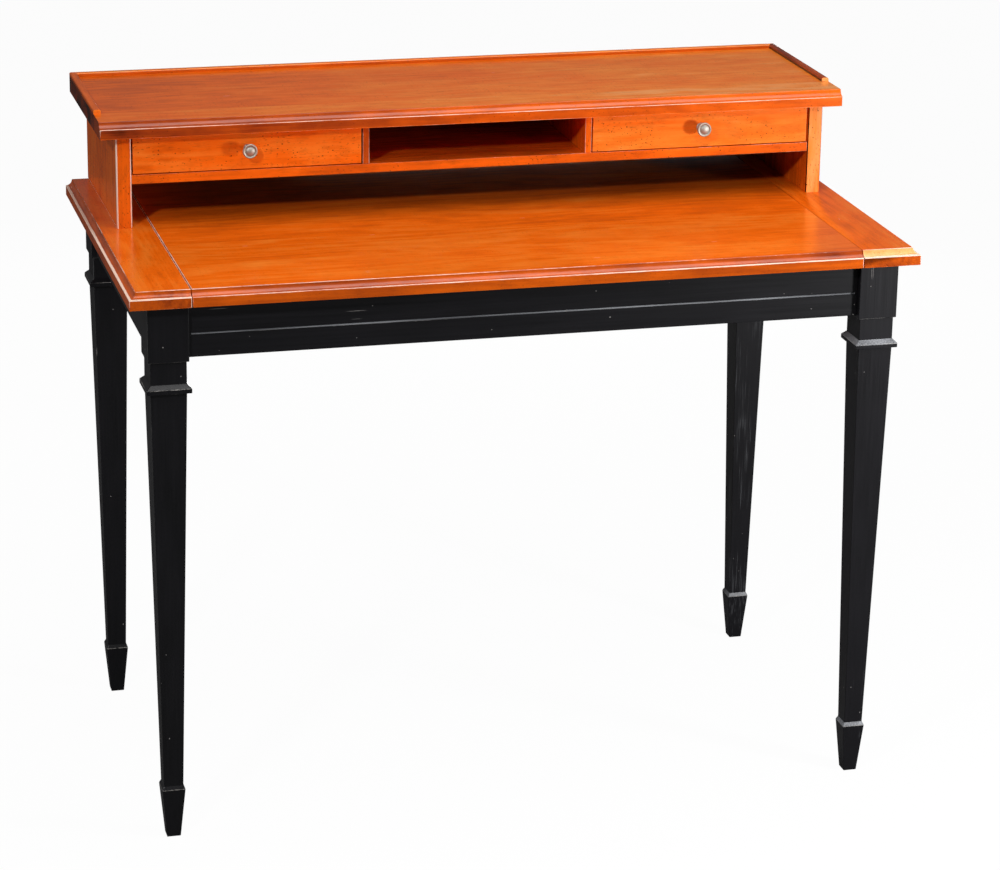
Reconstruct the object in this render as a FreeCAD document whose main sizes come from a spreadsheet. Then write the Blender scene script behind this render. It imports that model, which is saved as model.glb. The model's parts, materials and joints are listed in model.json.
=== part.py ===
import FreeCAD, Part
import os
import re

# Bonheur du jour: a tapered-leg writing table whose middle board pulls forward,
# carrying a low hutch with two drawers, an open niche and a three-sided gallery.
# Origin at the floor under the middle of the table, +X to the right of the sitter,
# +Y towards the back, +Z up, millimetres.

DRIVING = {
    # table top
    "width": 1060,
    "depth": 592,
    "desk_height": 766,
    "board_thick": 22.5,
    "cove_radius": 8.8,
    "end_width": 79.5,
    "slide_gap": 1.2,
    "tongue_thick": 7.4,
    "tongue_depth": 7,
    "tongue_lift": 6.3,
    "groove_margin": 60,
    # shared fits
    "running_gap": 0.3,
    "glue_gap": 0.05,
    "overrun": 3,
    # legs
    "leg_inset_side": 24.5,
    "leg_inset_front": 16.5,
    "block_side": 53.5,
    "block_length": 76,
    "neck_side": 47.5,
    "neck_length": 30,
    "collar_bevel": 5.5,
    "collar_side": 59,
    "collar_thick": 6,
    "ankle_side": 26,
    "foot_bevel": 5,
    "foot_side": 31,
    "foot_height": 70,
    "toe_side": 18.5,
    # aprons
    "apron_thick": 20,
    "apron_recess": 8,
    "apron_height": 72.5,
    "tenon_thick": 8,
    "tenon_height": 50,
    "tenon_length": 25,
    "tenon_drop": 10,
    "line_drop": 41.5,
    "line_width": 2.2,
    "line_depth": 1.5,
    "line_stop": 4,
    # under-frame
    "bearer_width": 45,
    "bearer_height": 40,
    "bearer_housing": 8,
    "batten_width": 25,
    "batten_height": 20,
    "batten_length": 500,
    "cleat_height": 20,
    "cleat_width": 22,
    "cleat_margin": 10,
    # wood screws
    "screw_radius": 1.75,
    "screw_length": 32,
    "screw_head_radius": 3.5,
    "screw_head_height": 2.2,
    "pin_radius": 1.4,
    "pin_length": 20,
    "pin_head_radius": 2.8,
    "pin_head_height": 1.6,
    # hutch
    "hutch_inset": 31.5,
    "hutch_depth": 280,
    "hutch_height": 126.5,
    "panel_thick": 21,
    "crown_reach": 22.5,
    "crown_overhang": 16,
    "shelf_lift": 60,
    "shelf_thick": 13,
    "shelf_setback": 1,
    "shelf_housing": 6,
    "housing_stop": 8,
    "niche_width": 305,
    "divider_thick": 9,
    "divider_housing": 4,
    "back_thick": 8,
    "back_rebate": 10,
    "back_lift": 2,
    "dowel_radius": 4,
    "dowel_sink": 13,
    "dowel_rise": 17,
    "dowel_margin": 36,
    "dowel_end_gap": 0.5,
    "rail_width": 10,
    "rail_height": 5.5,
    "rail_round": 2.5,
    "rail_setback": 59,
    # drawers
    "drawer_gap": 2,
    "drawer_lift": 1.2,
    "drawer_headroom": 1.6,
    "drawer_setback": 1,
    "drawer_rear_room": 23,
    "front_thick": 16,
    "lap_thick": 6,
    "side_thick": 8,
    "side_drop": 5,
    "tail_wide": 15,
    "tail_narrow": 10,
    "ply_thick": 4,
    "ply_groove": 4,
    "ply_lift": 6,
    "back_board_thick": 8,
    "back_board_housing": 3,
    "back_board_margin": 8,
    "stop_thick": 14,
    "stop_height": 12,
    "stop_width": 30,
    "stop_offset": 90,
    # knobs
    "knob_radius": 10,
    "knob_rise": 14,
    "knob_raise": 2.5,
    "knob_disc": 2.6,
    "knob_stem_radius": 4.5,
    "knob_flare": 5,
    "knob_base_radius": 6.5,
    "knob_base_thick": 1.5,
    "knob_rim_width": 1.5,
    "knob_rim_bevel": 0.7,
    "knob_rim_rise": 1.3,
    "knob_dish_bevel": 1.2,
    "knob_dome_radius": 6,
    "knob_brow_radius": 4.4,
    "knob_tip_radius": 1.8,
    "knob_brow_rise": 1.5,
    "knob_dome_rise": 2.2,
    "knob_bore_depth": 10,
    "bolt_radius": 2,
    "bolt_head_radius": 4,
    "bolt_head_height": 2.4,
    "bolt_bite": 9,
}

DERIVED = {
    "half_width": "width / 2",
    "half_depth": "depth / 2",
    "slide_travel": "depth / 3",
    "under": "desk_height - board_thick",
    "end_inner": "half_width - end_width",
    "slide_half": "end_inner - slide_gap",
    "tongue_base": "under + tongue_lift",
    "tongue_top": "tongue_base + tongue_thick",
    "groove_front": "groove_margin - half_depth",
    "tongue_front": "groove_front + slide_travel + running_gap",
    "leg_out_x": "half_width - leg_inset_side",
    "leg_out_y": "half_depth - leg_inset_front",
    "leg_in_x": "leg_out_x - block_side",
    "leg_in_y": "leg_out_y - block_side",
    "leg_x": "leg_out_x - block_side / 2",
    "leg_y": "leg_out_y - block_side / 2",
    "block_base": "under - block_length",
    "neck_base": "block_base - neck_length",
    "collar_top": "neck_base - collar_bevel",
    "collar_base": "collar_top - collar_thick",
    "ankle_base": "foot_height + foot_bevel",
    "apron_out_x": "leg_out_x - apron_recess",
    "apron_out_y": "leg_out_y - apron_recess",
    "apron_in_x": "apron_out_x - apron_thick",
    "apron_in_y": "apron_out_y - apron_thick",
    "apron_base": "under - apron_height",
    "bearing_top": "under - running_gap",
    "tenon_top": "under - tenon_drop",
    "tenon_base": "tenon_top - tenon_height",
    "tenon_mid_x": "apron_out_x - apron_thick / 2",
    "tenon_mid_y": "apron_out_y - apron_thick / 2",
    "line_z": "under - line_drop",
    "batten_back": "apron_in_y - running_gap",
    "batten_front": "batten_back - batten_width",
    "batten_base": "under - batten_height",
    "bearer_back": "batten_front - slide_travel - running_gap",
    "bearer_front": "bearer_back - bearer_width",
    "bearer_base": "bearing_top - bearer_height",
    "cleat_base": "under - cleat_height",
    "cleat_in_x": "apron_in_x - cleat_width",
    "cleat_front_in": "cleat_margin - bearer_front",
    "cleat_back_in": "cleat_margin + bearer_back",
    "cleat_out_y": "leg_in_y - cleat_margin",
    "panel_out": "half_width - hutch_inset",
    "panel_in": "panel_out - panel_thick",
    "panel_mid": "panel_out - panel_thick / 2",
    "hutch_front": "half_depth - hutch_depth",
    "back_face": "half_depth - back_thick",
    "shelf_base": "desk_height + shelf_lift",
    "shelf_top": "shelf_base + shelf_thick",
    "shelf_front": "hutch_front + shelf_setback",
    "housing_front": "hutch_front + housing_stop",
    "crown_half": "panel_out + crown_reach",
    "crown_width": "2 * crown_half",
    "crown_base": "desk_height + hutch_height",
    "crown_top": "crown_base + board_thick",
    "crown_front": "hutch_front - crown_overhang",
    "divider_in": "niche_width / 2",
    "divider_out": "divider_in + divider_thick",
    "rail_top": "crown_top + rail_height",
    "drawer_mid": "(divider_out + panel_in) / 2",
    "drawer_half": "(panel_in - divider_out) / 2 - drawer_gap",
    "drawer_face": "hutch_front + drawer_setback",
    "drawer_lap": "drawer_face + lap_thick",
    "drawer_root": "drawer_face + front_thick",
    "drawer_end": "back_face - drawer_rear_room",
    "front_base": "shelf_top + drawer_lift",
    "front_top": "crown_base - drawer_headroom",
    "side_base": "shelf_top + running_gap",
    "side_top": "front_top - side_drop",
    "side_inner": "drawer_half - side_thick",
    "ply_base": "side_base + ply_lift",
    "ply_top": "ply_base + ply_thick",
    "back_board_end": "drawer_end - back_board_margin",
    "knob_z": "(front_base + front_top) / 2 + knob_raise",
    "knob_face": "drawer_face - knob_rise",
    "knob_front": "knob_face - knob_disc",
}

PEG_SIDES = 10
LEFT_RIGHT = {"left": -1, "right": 1}
FRONT_BACK = {"front": -1, "back": 1}

doc = FreeCAD.newDocument("bonheur_du_jour")
dims = doc.addObject("Spreadsheet::Sheet", "dims")
nodes = []


def formula(text):
    """Turn dimension words into references to the sheet."""
    return re.sub(r"[a-z][a-z_]*", lambda word: f"dims.{word.group()}", str(text))


def fill_sheet():
    """Write the driving dimensions and the planes that follow from them."""
    row = 0
    for alias, value in DRIVING.items():
        row += 1
        dims.set(f"A{row}", alias)
        dims.set(f"B{row}", str(value))
        dims.setAlias(f"B{row}", alias)
    for alias, text in DERIVED.items():
        row += 1
        dims.set(f"A{row}", alias)
        dims.set(f"B{row}", f"={text}")
        dims.setAlias(f"B{row}", alias)
    doc.recompute()


def bind(item, **texts):
    """Bind properties of an item to dimension formulas."""
    for prop, text in texts.items():
        item.setExpression(prop, formula(text))
    return item


def place(item, x, y, z):
    """Bind the position of an item."""
    for axis, text in zip("xyz", (x, y, z)):
        item.setExpression(f"Placement.Base.{axis}", formula(text))
    return item


def side_span(sign, inner, outer):
    """Interval between two distances from the middle plane, on the signed side."""
    if sign > 0:
        return inner, outer
    return f"-({outer})", f"-({inner})"


def about(middle, half):
    """Interval of the given half size about a middle."""
    return f"({middle}) - ({half})", f"({middle}) + ({half})"


def grown(span, gap="glue_gap"):
    """Interval widened by a gap at both ends."""
    return f"({span[0]}) - {gap}", f"({span[1]}) + {gap}"


def box(name, xs, ys, zs):
    """Block between the given intervals."""
    block = doc.addObject("Part::Box", name)
    for size, (low, high) in zip(("Length", "Width", "Height"), (xs, ys, zs)):
        bind(block, **{size: f"({high}) - ({low})"})
    return place(block, xs[0], ys[0], zs[0])


TURNS = {
    "+x": FreeCAD.Rotation(FreeCAD.Vector(0, 1, 0), 90),
    "-x": FreeCAD.Rotation(FreeCAD.Vector(0, 1, 0), -90),
    "+y": FreeCAD.Rotation(FreeCAD.Vector(1, 0, 0), -90),
    "-y": FreeCAD.Rotation(FreeCAD.Vector(1, 0, 0), 90),
    "+z": FreeCAD.Rotation(),
    "-z": FreeCAD.Rotation(FreeCAD.Vector(1, 0, 0), 180),
}


def turned(item, heading, at):
    """Turn an item's own z axis to a heading and bind its position."""
    item.Placement = FreeCAD.Placement(FreeCAD.Vector(), TURNS[heading])
    return place(item, *at)


def rod(name, radius, length, heading, at):
    """Cylinder that starts at a point and runs along a heading."""
    item = bind(doc.addObject("Part::Cylinder", name), Radius=radius, Height=length)
    return turned(item, heading, at)


def peg(name, radius, length, heading, at):
    """Slim faceted bar that starts at a point and runs along a heading."""
    item = doc.addObject("Part::Prism", name)
    item.Polygon = PEG_SIDES
    bind(item, Circumradius=radius, Height=length)
    return turned(item, heading, at)


def cone(name, start, end, length, heading, at):
    """Cone that starts at a point and runs along a heading."""
    item = doc.addObject("Part::Cone", name)
    bind(item, Radius1=start, Radius2=end, Height=length)
    return turned(item, heading, at)


def fuse(name, pieces):
    """One solid from overlapping or touching pieces."""
    item = doc.addObject("Part::MultiFuse", name)
    item.Shapes = pieces
    item.Refine = True
    return item


def carve(name, base, tools):
    """A base less all of its tools."""
    item = doc.addObject("Part::Cut", name)
    item.Base = base
    item.Tool = tools[0] if len(tools) == 1 else fuse(f"{name}_tools", tools)
    item.Refine = True
    return item


def gather(name, pieces):
    """Separate identical pieces kept under one name."""
    item = doc.addObject("Part::Compound", name)
    item.Links = pieces
    return item


def node(item, label):
    """Name a finished piece of the assembly."""
    item.Label = label
    nodes.append(item)
    return item


def screw(name, at, heading, kind="screw"):
    """Wood screw with its head on the surface at a point, driven along a heading."""
    opposite = {"+": "-", "-": "+"}[heading[0]] + heading[1]
    shank = peg(f"{name}_shank", f"{kind}_radius", f"{kind}_length", heading, at)
    head = peg(f"{name}_head", f"{kind}_head_radius", f"{kind}_head_height", opposite, at)
    return fuse(name, [shank, head])


def screw_hole(name, at, heading, kind="screw"):
    """Hole that takes the shank of a screw."""
    return peg(name, f"{kind}_radius + glue_gap", f"{kind}_length + glue_gap", heading, at)


def taper(name, at, lower, upper):
    """Square taper about an upright axis between two levels, each a side and a height."""
    wedge = doc.addObject("Part::Wedge", name)
    half = f"{lower[0]} / 2"
    half_top = f"{upper[0]} / 2"
    bind(wedge, Xmin=f"-{half}", Xmax=half, Zmin=f"-{half}", Zmax=half)
    bind(wedge, X2min=f"-{half_top}", X2max=half_top, Z2min=f"-{half_top}", Z2max=half_top)
    bind(wedge, Ymin="0", Ymax=f"{upper[1]} - {lower[1]}")
    wedge.Placement = FreeCAD.Placement(FreeCAD.Vector(), TURNS["-y"])
    return place(wedge, *at, lower[1])


def build_leg(end_name, end, side_name, side):
    """Leg with a mortised block, a necking, a collar, a taper and a spade foot."""
    name = f"leg_{end_name}_{side_name}"
    at = (f"{side} * leg_x", f"{end} * leg_y")
    levels = [
        ("toe_side", "0"),
        ("foot_side", "foot_height"),
        ("ankle_side", "ankle_base"),
        ("neck_side", "collar_base"),
        ("collar_side", "collar_base"),
        ("collar_side", "collar_top"),
        ("neck_side", "neck_base"),
        ("neck_side", "block_base"),
        ("block_side", "block_base"),
        ("block_side", "under"),
    ]
    stretches = [
        taper(f"{name}_stretch_{number}", at, lower, upper)
        for number, (lower, upper) in enumerate(zip(levels, levels[1:]))
        if lower[1] != upper[1]
    ]
    shaft = fuse(f"{name}_shaft", stretches)
    heights = grown(("tenon_base", "tenon_top"))
    reach_x = side_span(side, "leg_in_x - overrun", "leg_in_x + tenon_length + glue_gap")
    reach_y = side_span(end, "leg_in_y - overrun", "leg_in_y + tenon_length + glue_gap")
    cheek_x = grown(about(f"{side} * tenon_mid_x", "tenon_thick / 2"))
    cheek_y = grown(about(f"{end} * tenon_mid_y", "tenon_thick / 2"))
    mortises = [
        box(f"{name}_long_mortise", reach_x, cheek_y, heights),
        box(f"{name}_short_mortise", cheek_x, reach_y, heights),
    ]
    node(carve(name, shaft, mortises), name)


def build_long_apron(end_name, end):
    """Front or back apron with a tenon at each end."""
    name = f"apron_{end_name}"
    ys = side_span(end, "apron_in_y", "apron_out_y")
    cheeks = about(f"{end} * tenon_mid_y", "tenon_thick / 2")
    rail = box(f"{name}_rail", ("-(leg_in_x)", "leg_in_x"), ys, ("apron_base", "bearing_top"))
    tenons = box(
        f"{name}_tenons",
        ("-(leg_in_x + tenon_length)", "leg_in_x + tenon_length"),
        cheeks,
        ("tenon_base", "tenon_top"),
    )
    apron = fuse(f"{name}_joined", [rail, tenons])
    if end_name == "front":
        stop = "leg_in_x - line_stop"
        line = box(
            f"{name}_line",
            (f"-({stop})", stop),
            ("-(apron_out_y) - overrun", "-(apron_out_y) + line_depth"),
            about("line_z", "line_width / 2"),
        )
        apron = carve(f"{name}_lined", apron, [line])
    node(apron, name)


def cleat_span(end):
    """Interval of a cleat between the bearer and a leg."""
    return side_span(end, "cleat_front_in" if end < 0 else "cleat_back_in", "cleat_out_y")


def cleat_screw_places(side, end):
    """Starting points and headings of the screws in one cleat."""
    low, high = cleat_span(end)
    first, middle, last = (f"({low}) + (({high}) - ({low})) * {step} / 6" for step in (1, 3, 5))
    mid_x = f"{side} * (cleat_in_x + cleat_width / 2)"
    mid_z = "cleat_base + cleat_height / 2"
    heading = "+x" if side > 0 else "-x"
    return [
        ((mid_x, first, "cleat_base"), "+z"),
        ((mid_x, last, "cleat_base"), "+z"),
        ((f"{side} * cleat_in_x", middle, mid_z), heading),
    ]


def all_cleat_screws(side):
    """Screws of both cleats on one side."""
    return [spot for end in FRONT_BACK.values() for spot in cleat_screw_places(side, end)]


def build_short_apron(side_name, side):
    """Left or right apron, housed for the bearer and bored for the cleat screws."""
    name = f"apron_{side_name}"
    xs = side_span(side, "apron_in_x", "apron_out_x")
    cheeks = about(f"{side} * tenon_mid_x", "tenon_thick / 2")
    rail = box(f"{name}_rail", xs, ("-(leg_in_y)", "leg_in_y"), ("apron_base", "under"))
    tenons = box(
        f"{name}_tenons",
        cheeks,
        ("-(leg_in_y + tenon_length)", "leg_in_y + tenon_length"),
        ("tenon_base", "tenon_top"),
    )
    housing = box(
        f"{name}_housing",
        side_span(side, "apron_in_x - overrun", "apron_in_x + bearer_housing + glue_gap"),
        grown(("bearer_front", "bearer_back")),
        ("bearer_base - glue_gap", "under + overrun"),
    )
    tools = [housing]
    for spot, heading in all_cleat_screws(side):
        if heading[1] == "x":
            tools.append(screw_hole(f"{name}_bore_{len(tools)}", spot, heading))
    apron = fuse(f"{name}_joined", [rail, tenons])
    node(carve(name, apron, tools), name)


def build_under_frame():
    """Cross bearer, cleats and the screws that hold the end boards down."""
    reach = "apron_in_x + bearer_housing"
    bearer = box(
        "bearer_bar",
        (f"-({reach})", reach),
        ("bearer_front", "bearer_back"),
        ("bearer_base", "bearing_top"),
    )
    node(bearer, "cross_bearer")
    screws = []
    for side_name, side in LEFT_RIGHT.items():
        for end_name, end in FRONT_BACK.items():
            name = f"cleat_{end_name}_{side_name}"
            bar = box(
                f"{name}_bar",
                side_span(side, "cleat_in_x", "apron_in_x"),
                cleat_span(end),
                ("cleat_base", "under"),
            )
            bores = []
            for spot, heading in cleat_screw_places(side, end):
                bores.append(screw_hole(f"{name}_bore_{len(bores)}", spot, heading))
                screws.append(screw(f"{name}_screw_{len(bores)}", spot, heading))
            node(carve(name, bar, bores), name)
    node(gather("cleat_screw_set", screws), "cleat_screws")


def dowel_rows():
    """Distances from the middle plane to the three dowels of a panel end."""
    first = "hutch_front + dowel_margin"
    last = "back_face - dowel_margin"
    return first, f"({first} + {last}) / 2", last


def dowel_holes(name, side, base):
    """Holes for the dowels that cross a joint plane."""
    holes = []
    for row in dowel_rows():
        start = f"{base} - dowel_end_gap"
        depth = "dowel_sink + dowel_rise + 2 * dowel_end_gap"
        at = (f"{side} * panel_mid", row, start)
        holes.append(peg(f"{name}_{len(holes)}", "dowel_radius + glue_gap", depth, "+z", at))
    return holes


FOOT_DOWEL_BASE = "desk_height - dowel_sink"
HEAD_DOWEL_BASE = "crown_base - dowel_rise"


def build_end_board(side_name, side):
    """Fixed end of the top: coved front and outer edge, grooved inner edge."""
    name = f"end_board_{side_name}"
    board = box(
        f"{name}_blank",
        side_span(side, "end_inner", "half_width"),
        ("-(half_depth)", "half_depth"),
        ("under", "desk_height"),
    )
    start_x = "end_inner - overrun" if side > 0 else "-(half_width + overrun)"
    tools = [
        rod(
            f"{name}_front_cove",
            "cove_radius",
            "end_width + 2 * overrun",
            "+x",
            (start_x, "-(half_depth)", "desk_height"),
        ),
        rod(
            f"{name}_side_cove",
            "cove_radius",
            "depth + 2 * overrun",
            "+y",
            (f"{side} * half_width", "-(half_depth + overrun)", "desk_height"),
        ),
        box(
            f"{name}_groove",
            side_span(side, "end_inner - overrun", "slide_half + tongue_depth + slide_gap"),
            ("groove_front", "half_depth + overrun"),
            grown(("tongue_base", "tongue_top"), "running_gap"),
        ),
    ]
    for spot, heading in all_cleat_screws(side):
        if heading[1] == "z":
            tools.append(screw_hole(f"{name}_bore_{len(tools)}", spot, heading))
    tools += dowel_holes(f"{name}_dowel", side, FOOT_DOWEL_BASE)
    node(carve(name, board, tools), name)


def batten_screw_places():
    """Starting points of the screws that hold the stop batten."""
    mid_y = "batten_front + batten_width / 2"
    return [(f"{step} * batten_length / 3", mid_y, "batten_base") for step in (-1, 0, 1)]


def build_slide():
    """Middle board that pulls forward, with its edge tongues and stop batten."""
    board = box(
        "slide_blank",
        ("-(slide_half)", "slide_half"),
        ("-(half_depth)", "half_depth"),
        ("under", "desk_height"),
    )
    pieces = [board]
    for side_name, side in LEFT_RIGHT.items():
        pieces.append(
            box(
                f"slide_tongue_{side_name}",
                side_span(side, "slide_half - overrun", "slide_half + tongue_depth"),
                ("tongue_front", "half_depth"),
                ("tongue_base", "tongue_top"),
            )
        )
    cove = rod(
        "slide_cove",
        "cove_radius",
        "2 * slide_half + 2 * overrun",
        "+x",
        ("-(slide_half + overrun)", "-(half_depth)", "desk_height"),
    )
    batten = box(
        "stop_batten_bar",
        about("0", "batten_length / 2"),
        ("batten_front", "batten_back"),
        ("batten_base", "under"),
    )
    board_tools = [cove]
    batten_tools = []
    screws = []
    for number, spot in enumerate(batten_screw_places()):
        board_tools.append(screw_hole(f"slide_bore_{number}", spot, "+z"))
        batten_tools.append(screw_hole(f"stop_batten_bore_{number}", spot, "+z"))
        screws.append(screw(f"stop_batten_screw_{number}", spot, "+z"))
    node(carve("slide_cut", fuse("slide_joined", pieces), board_tools), "writing_slide")
    node(carve("stop_batten_cut", batten, batten_tools), "slide_stop_batten")
    node(gather("stop_batten_screw_set", screws), "slide_batten_screws")


def back_pin_places():
    """Points where pins enter the back panel."""
    shelf_z = "shelf_base + shelf_thick / 2"
    edge = "panel_in + back_rebate / 2"
    low = "desk_height + hutch_height / 5"
    high = "crown_base - hutch_height / 5"
    seat = "half_depth - pin_head_height"
    spots = [(f"{step} * niche_width / 2", seat, shelf_z) for step in (-2, -1, 0, 1, 2)]
    for side in LEFT_RIGHT.values():
        spots += [(f"{side} * ({edge})", seat, height) for height in (low, high)]
    return spots


def pin_holes(name, keep):
    """Holes for the back panel's pins that pass a test on their place."""
    spots = [spot for spot in back_pin_places() if keep(spot)]
    return [
        screw_hole(f"{name}_{number}", spot, "-y", "pin") for number, spot in enumerate(spots)
    ]


def build_hutch_side(side_name, side):
    """Side panel of the hutch: housed for the shelf, rebated for the back."""
    name = f"hutch_side_{side_name}"
    panel = box(
        f"{name}_blank",
        side_span(side, "panel_in", "panel_out"),
        ("hutch_front", "half_depth"),
        ("desk_height", "crown_base"),
    )
    tools = [
        box(
            f"{name}_housing",
            side_span(side, "panel_in - overrun", "panel_in + shelf_housing + glue_gap"),
            ("housing_front", "half_depth + overrun"),
            grown(("shelf_base", "shelf_top")),
        ),
        box(
            f"{name}_rebate",
            side_span(side, "panel_in - overrun", "panel_in + back_rebate"),
            ("back_face", "half_depth + overrun"),
            ("desk_height - overrun", "crown_base + overrun"),
        ),
    ]
    tools += dowel_holes(f"{name}_foot", side, FOOT_DOWEL_BASE)
    tools += dowel_holes(f"{name}_head", side, HEAD_DOWEL_BASE)
    tools += pin_holes(f"{name}_pin", lambda spot: spot[0].startswith(f"{side} * (panel_in"))
    node(carve(name, panel, tools), name)


def divider_housing(name, side, zs):
    """Stopped housing for a divider's edge."""
    xs = grown(side_span(side, "divider_in", "divider_out"))
    return box(name, xs, ("housing_front", "half_depth + overrun"), zs)


def build_hutch_boards():
    """Hutch top, shelf, dividers, back panel, dowels and pins."""
    crown = box(
        "hutch_top_blank",
        ("-(crown_half)", "crown_half"),
        ("crown_front", "half_depth"),
        ("crown_base", "crown_top"),
    )
    crown_cove = rod(
        "hutch_top_cove",
        "cove_radius",
        "crown_width + 2 * overrun",
        "+x",
        ("-(crown_half + overrun)", "crown_front", "crown_top"),
    )
    reach = "panel_in + shelf_housing"
    shelf = box(
        "shelf_blank",
        (f"-({reach})", reach),
        ("shelf_front", "back_face"),
        ("shelf_base", "shelf_top"),
    )
    crown_tools = [crown_cove]
    shelf_tools = pin_holes("shelf_pin", lambda spot: "niche_width" in spot[0])
    for side_name, side in LEFT_RIGHT.items():
        crown_tools += dowel_holes(f"hutch_top_dowel_{side_name}", side, HEAD_DOWEL_BASE)
        upper = ("crown_base - overrun", "crown_base + divider_housing + glue_gap")
        lower = ("shelf_top - divider_housing - glue_gap", "shelf_top + overrun")
        divider_crown = divider_housing(f"hutch_top_housing_{side_name}", side, upper)
        bind(divider_crown, Width="back_face - housing_front")
        crown_tools.append(divider_crown)
        shelf_tools.append(divider_housing(f"shelf_housing_{side_name}", side, lower))
        shelf_tools.append(
            box(
                f"shelf_notch_{side_name}",
                side_span(side, "panel_in - glue_gap", f"{reach} + overrun"),
                ("shelf_front - overrun", "housing_front + glue_gap"),
                ("shelf_base - overrun", "shelf_top + overrun"),
            )
        )
        xs = side_span(side, "divider_in", "divider_out")
        blade = box(
            f"divider_{side_name}_blade",
            xs,
            ("shelf_front", "back_face"),
            ("shelf_top", "crown_base"),
        )
        edge = box(
            f"divider_{side_name}_edge",
            xs,
            ("housing_front + glue_gap", "back_face"),
            ("shelf_top - divider_housing", "crown_base + divider_housing"),
        )
        node(fuse(f"divider_{side_name}", [blade, edge]), f"divider_{side_name}")
    node(carve("hutch_top_cut", crown, crown_tools), "hutch_top")
    node(carve("shelf_cut", shelf, shelf_tools), "shelf")
    back = box(
        "back_panel_blank",
        about("0", "panel_in + back_rebate - glue_gap"),
        ("back_face", "half_depth"),
        ("desk_height + back_lift", "crown_base"),
    )
    back_tools = pin_holes("back_panel_pin", lambda spot: True)
    for number, spot in enumerate(back_pin_places()):
        seat = "pin_head_radius + glue_gap"
        length = "pin_head_height + overrun"
        back_tools.append(peg(f"back_panel_seat_{number}", seat, length, "+y", spot))
    node(carve("back_panel_cut", back, back_tools), "back_panel")
    pins = [
        screw(f"back_pin_{number}", spot, "-y", "pin")
        for number, spot in enumerate(back_pin_places())
    ]
    node(gather("back_pin_set", pins), "back_panel_pins")
    dowels = []
    for side in LEFT_RIGHT.values():
        for base in (FOOT_DOWEL_BASE, HEAD_DOWEL_BASE):
            for row in dowel_rows():
                at = (f"{side} * panel_mid", row, base)
                length = "dowel_sink + dowel_rise"
                dowels.append(peg(f"dowel_{len(dowels)}", "dowel_radius", length, "+z", at))
    node(gather("dowel_set", dowels), "hutch_dowels")


def rail_bar(name, heading, across, start, length):
    """Gallery bar with rounded upper edges, across being its cross interval."""
    low, high = across
    inner = (f"({low}) + rail_round", f"({high}) - rail_round")
    along = (start, f"({start}) + ({length})")
    shoulder = "rail_top - rail_round"
    if heading == "+x":
        frame = lambda cross, zs: (along, cross, zs)
        spots = [(start, cross, shoulder) for cross in inner]
    else:
        frame = lambda cross, zs: (cross, along, zs)
        spots = [(cross, start, shoulder) for cross in inner]
    pieces = [
        box(f"{name}_foot", *frame(across, ("crown_top", shoulder))),
        box(f"{name}_crest", *frame(inner, ("crown_top", "rail_top"))),
    ]
    for number, spot in enumerate(spots):
        pieces.append(rod(f"{name}_round_{number}", "rail_round", length, heading, spot))
    return fuse(f"{name}_bar", pieces)


def mitre_tool(name, side, keep_side):
    """Block that trims a gallery bar to the mitre at one back corner."""
    reach = "rail_width * 1.3" if keep_side else "rail_width"
    angle = 45 if keep_side else -135
    x_shift = {(1, True): "-", (1, False): "+", (-1, True): "+", (-1, False): "-"}[side, keep_side]
    y_shift = "-" if keep_side else "+"
    tool = doc.addObject("Part::Box", name)
    bind(tool, Length="rail_width * 4", Width="rail_width * 4", Height="rail_height + 2 * overrun")
    turn = FreeCAD.Rotation(FreeCAD.Vector(0, 0, 1), angle)
    tool.Placement = FreeCAD.Placement(FreeCAD.Vector(), turn)
    return place(
        tool,
        f"{side} * crown_half {x_shift} {reach}",
        f"half_depth {y_shift} {reach}",
        "crown_top - overrun",
    )


def build_gallery():
    """Low three-sided gallery, mitred at the back corners."""
    back = rail_bar(
        "gallery_back",
        "+x",
        ("half_depth - rail_width", "half_depth"),
        "-(crown_half)",
        "crown_width",
    )
    back_trims = []
    for side_name, side in LEFT_RIGHT.items():
        name = f"gallery_{side_name}"
        bar = rail_bar(
            name,
            "+y",
            side_span(side, "crown_half - rail_width", "crown_half"),
            "crown_front + rail_setback",
            "half_depth - crown_front - rail_setback",
        )
        node(carve(name, bar, [mitre_tool(f"{name}_trim", side, True)]), name)
        back_trims.append(mitre_tool(f"gallery_back_trim_{side_name}", side, False))
    node(carve("gallery_back", back, back_trims), "gallery_back")


def tail(name, xs, height, gap="0"):
    """Dovetail that widens towards the drawer face."""
    wedge = doc.addObject("Part::Wedge", name)
    wide = f"tail_wide / 2 + {gap}"
    narrow = f"tail_narrow / 2 + {gap}"
    thick = f"({xs[1]}) - ({xs[0]})"
    bind(wedge, Xmin="0", Xmax=thick, X2min="0", X2max=thick)
    bind(wedge, Ymin="0", Ymax=f"front_thick - lap_thick + {gap}")
    bind(wedge, Zmin=f"-({wide})", Zmax=wide, Z2min=f"-({narrow})", Z2max=narrow)
    return place(wedge, xs[0], f"drawer_lap - {gap}", height)


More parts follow.
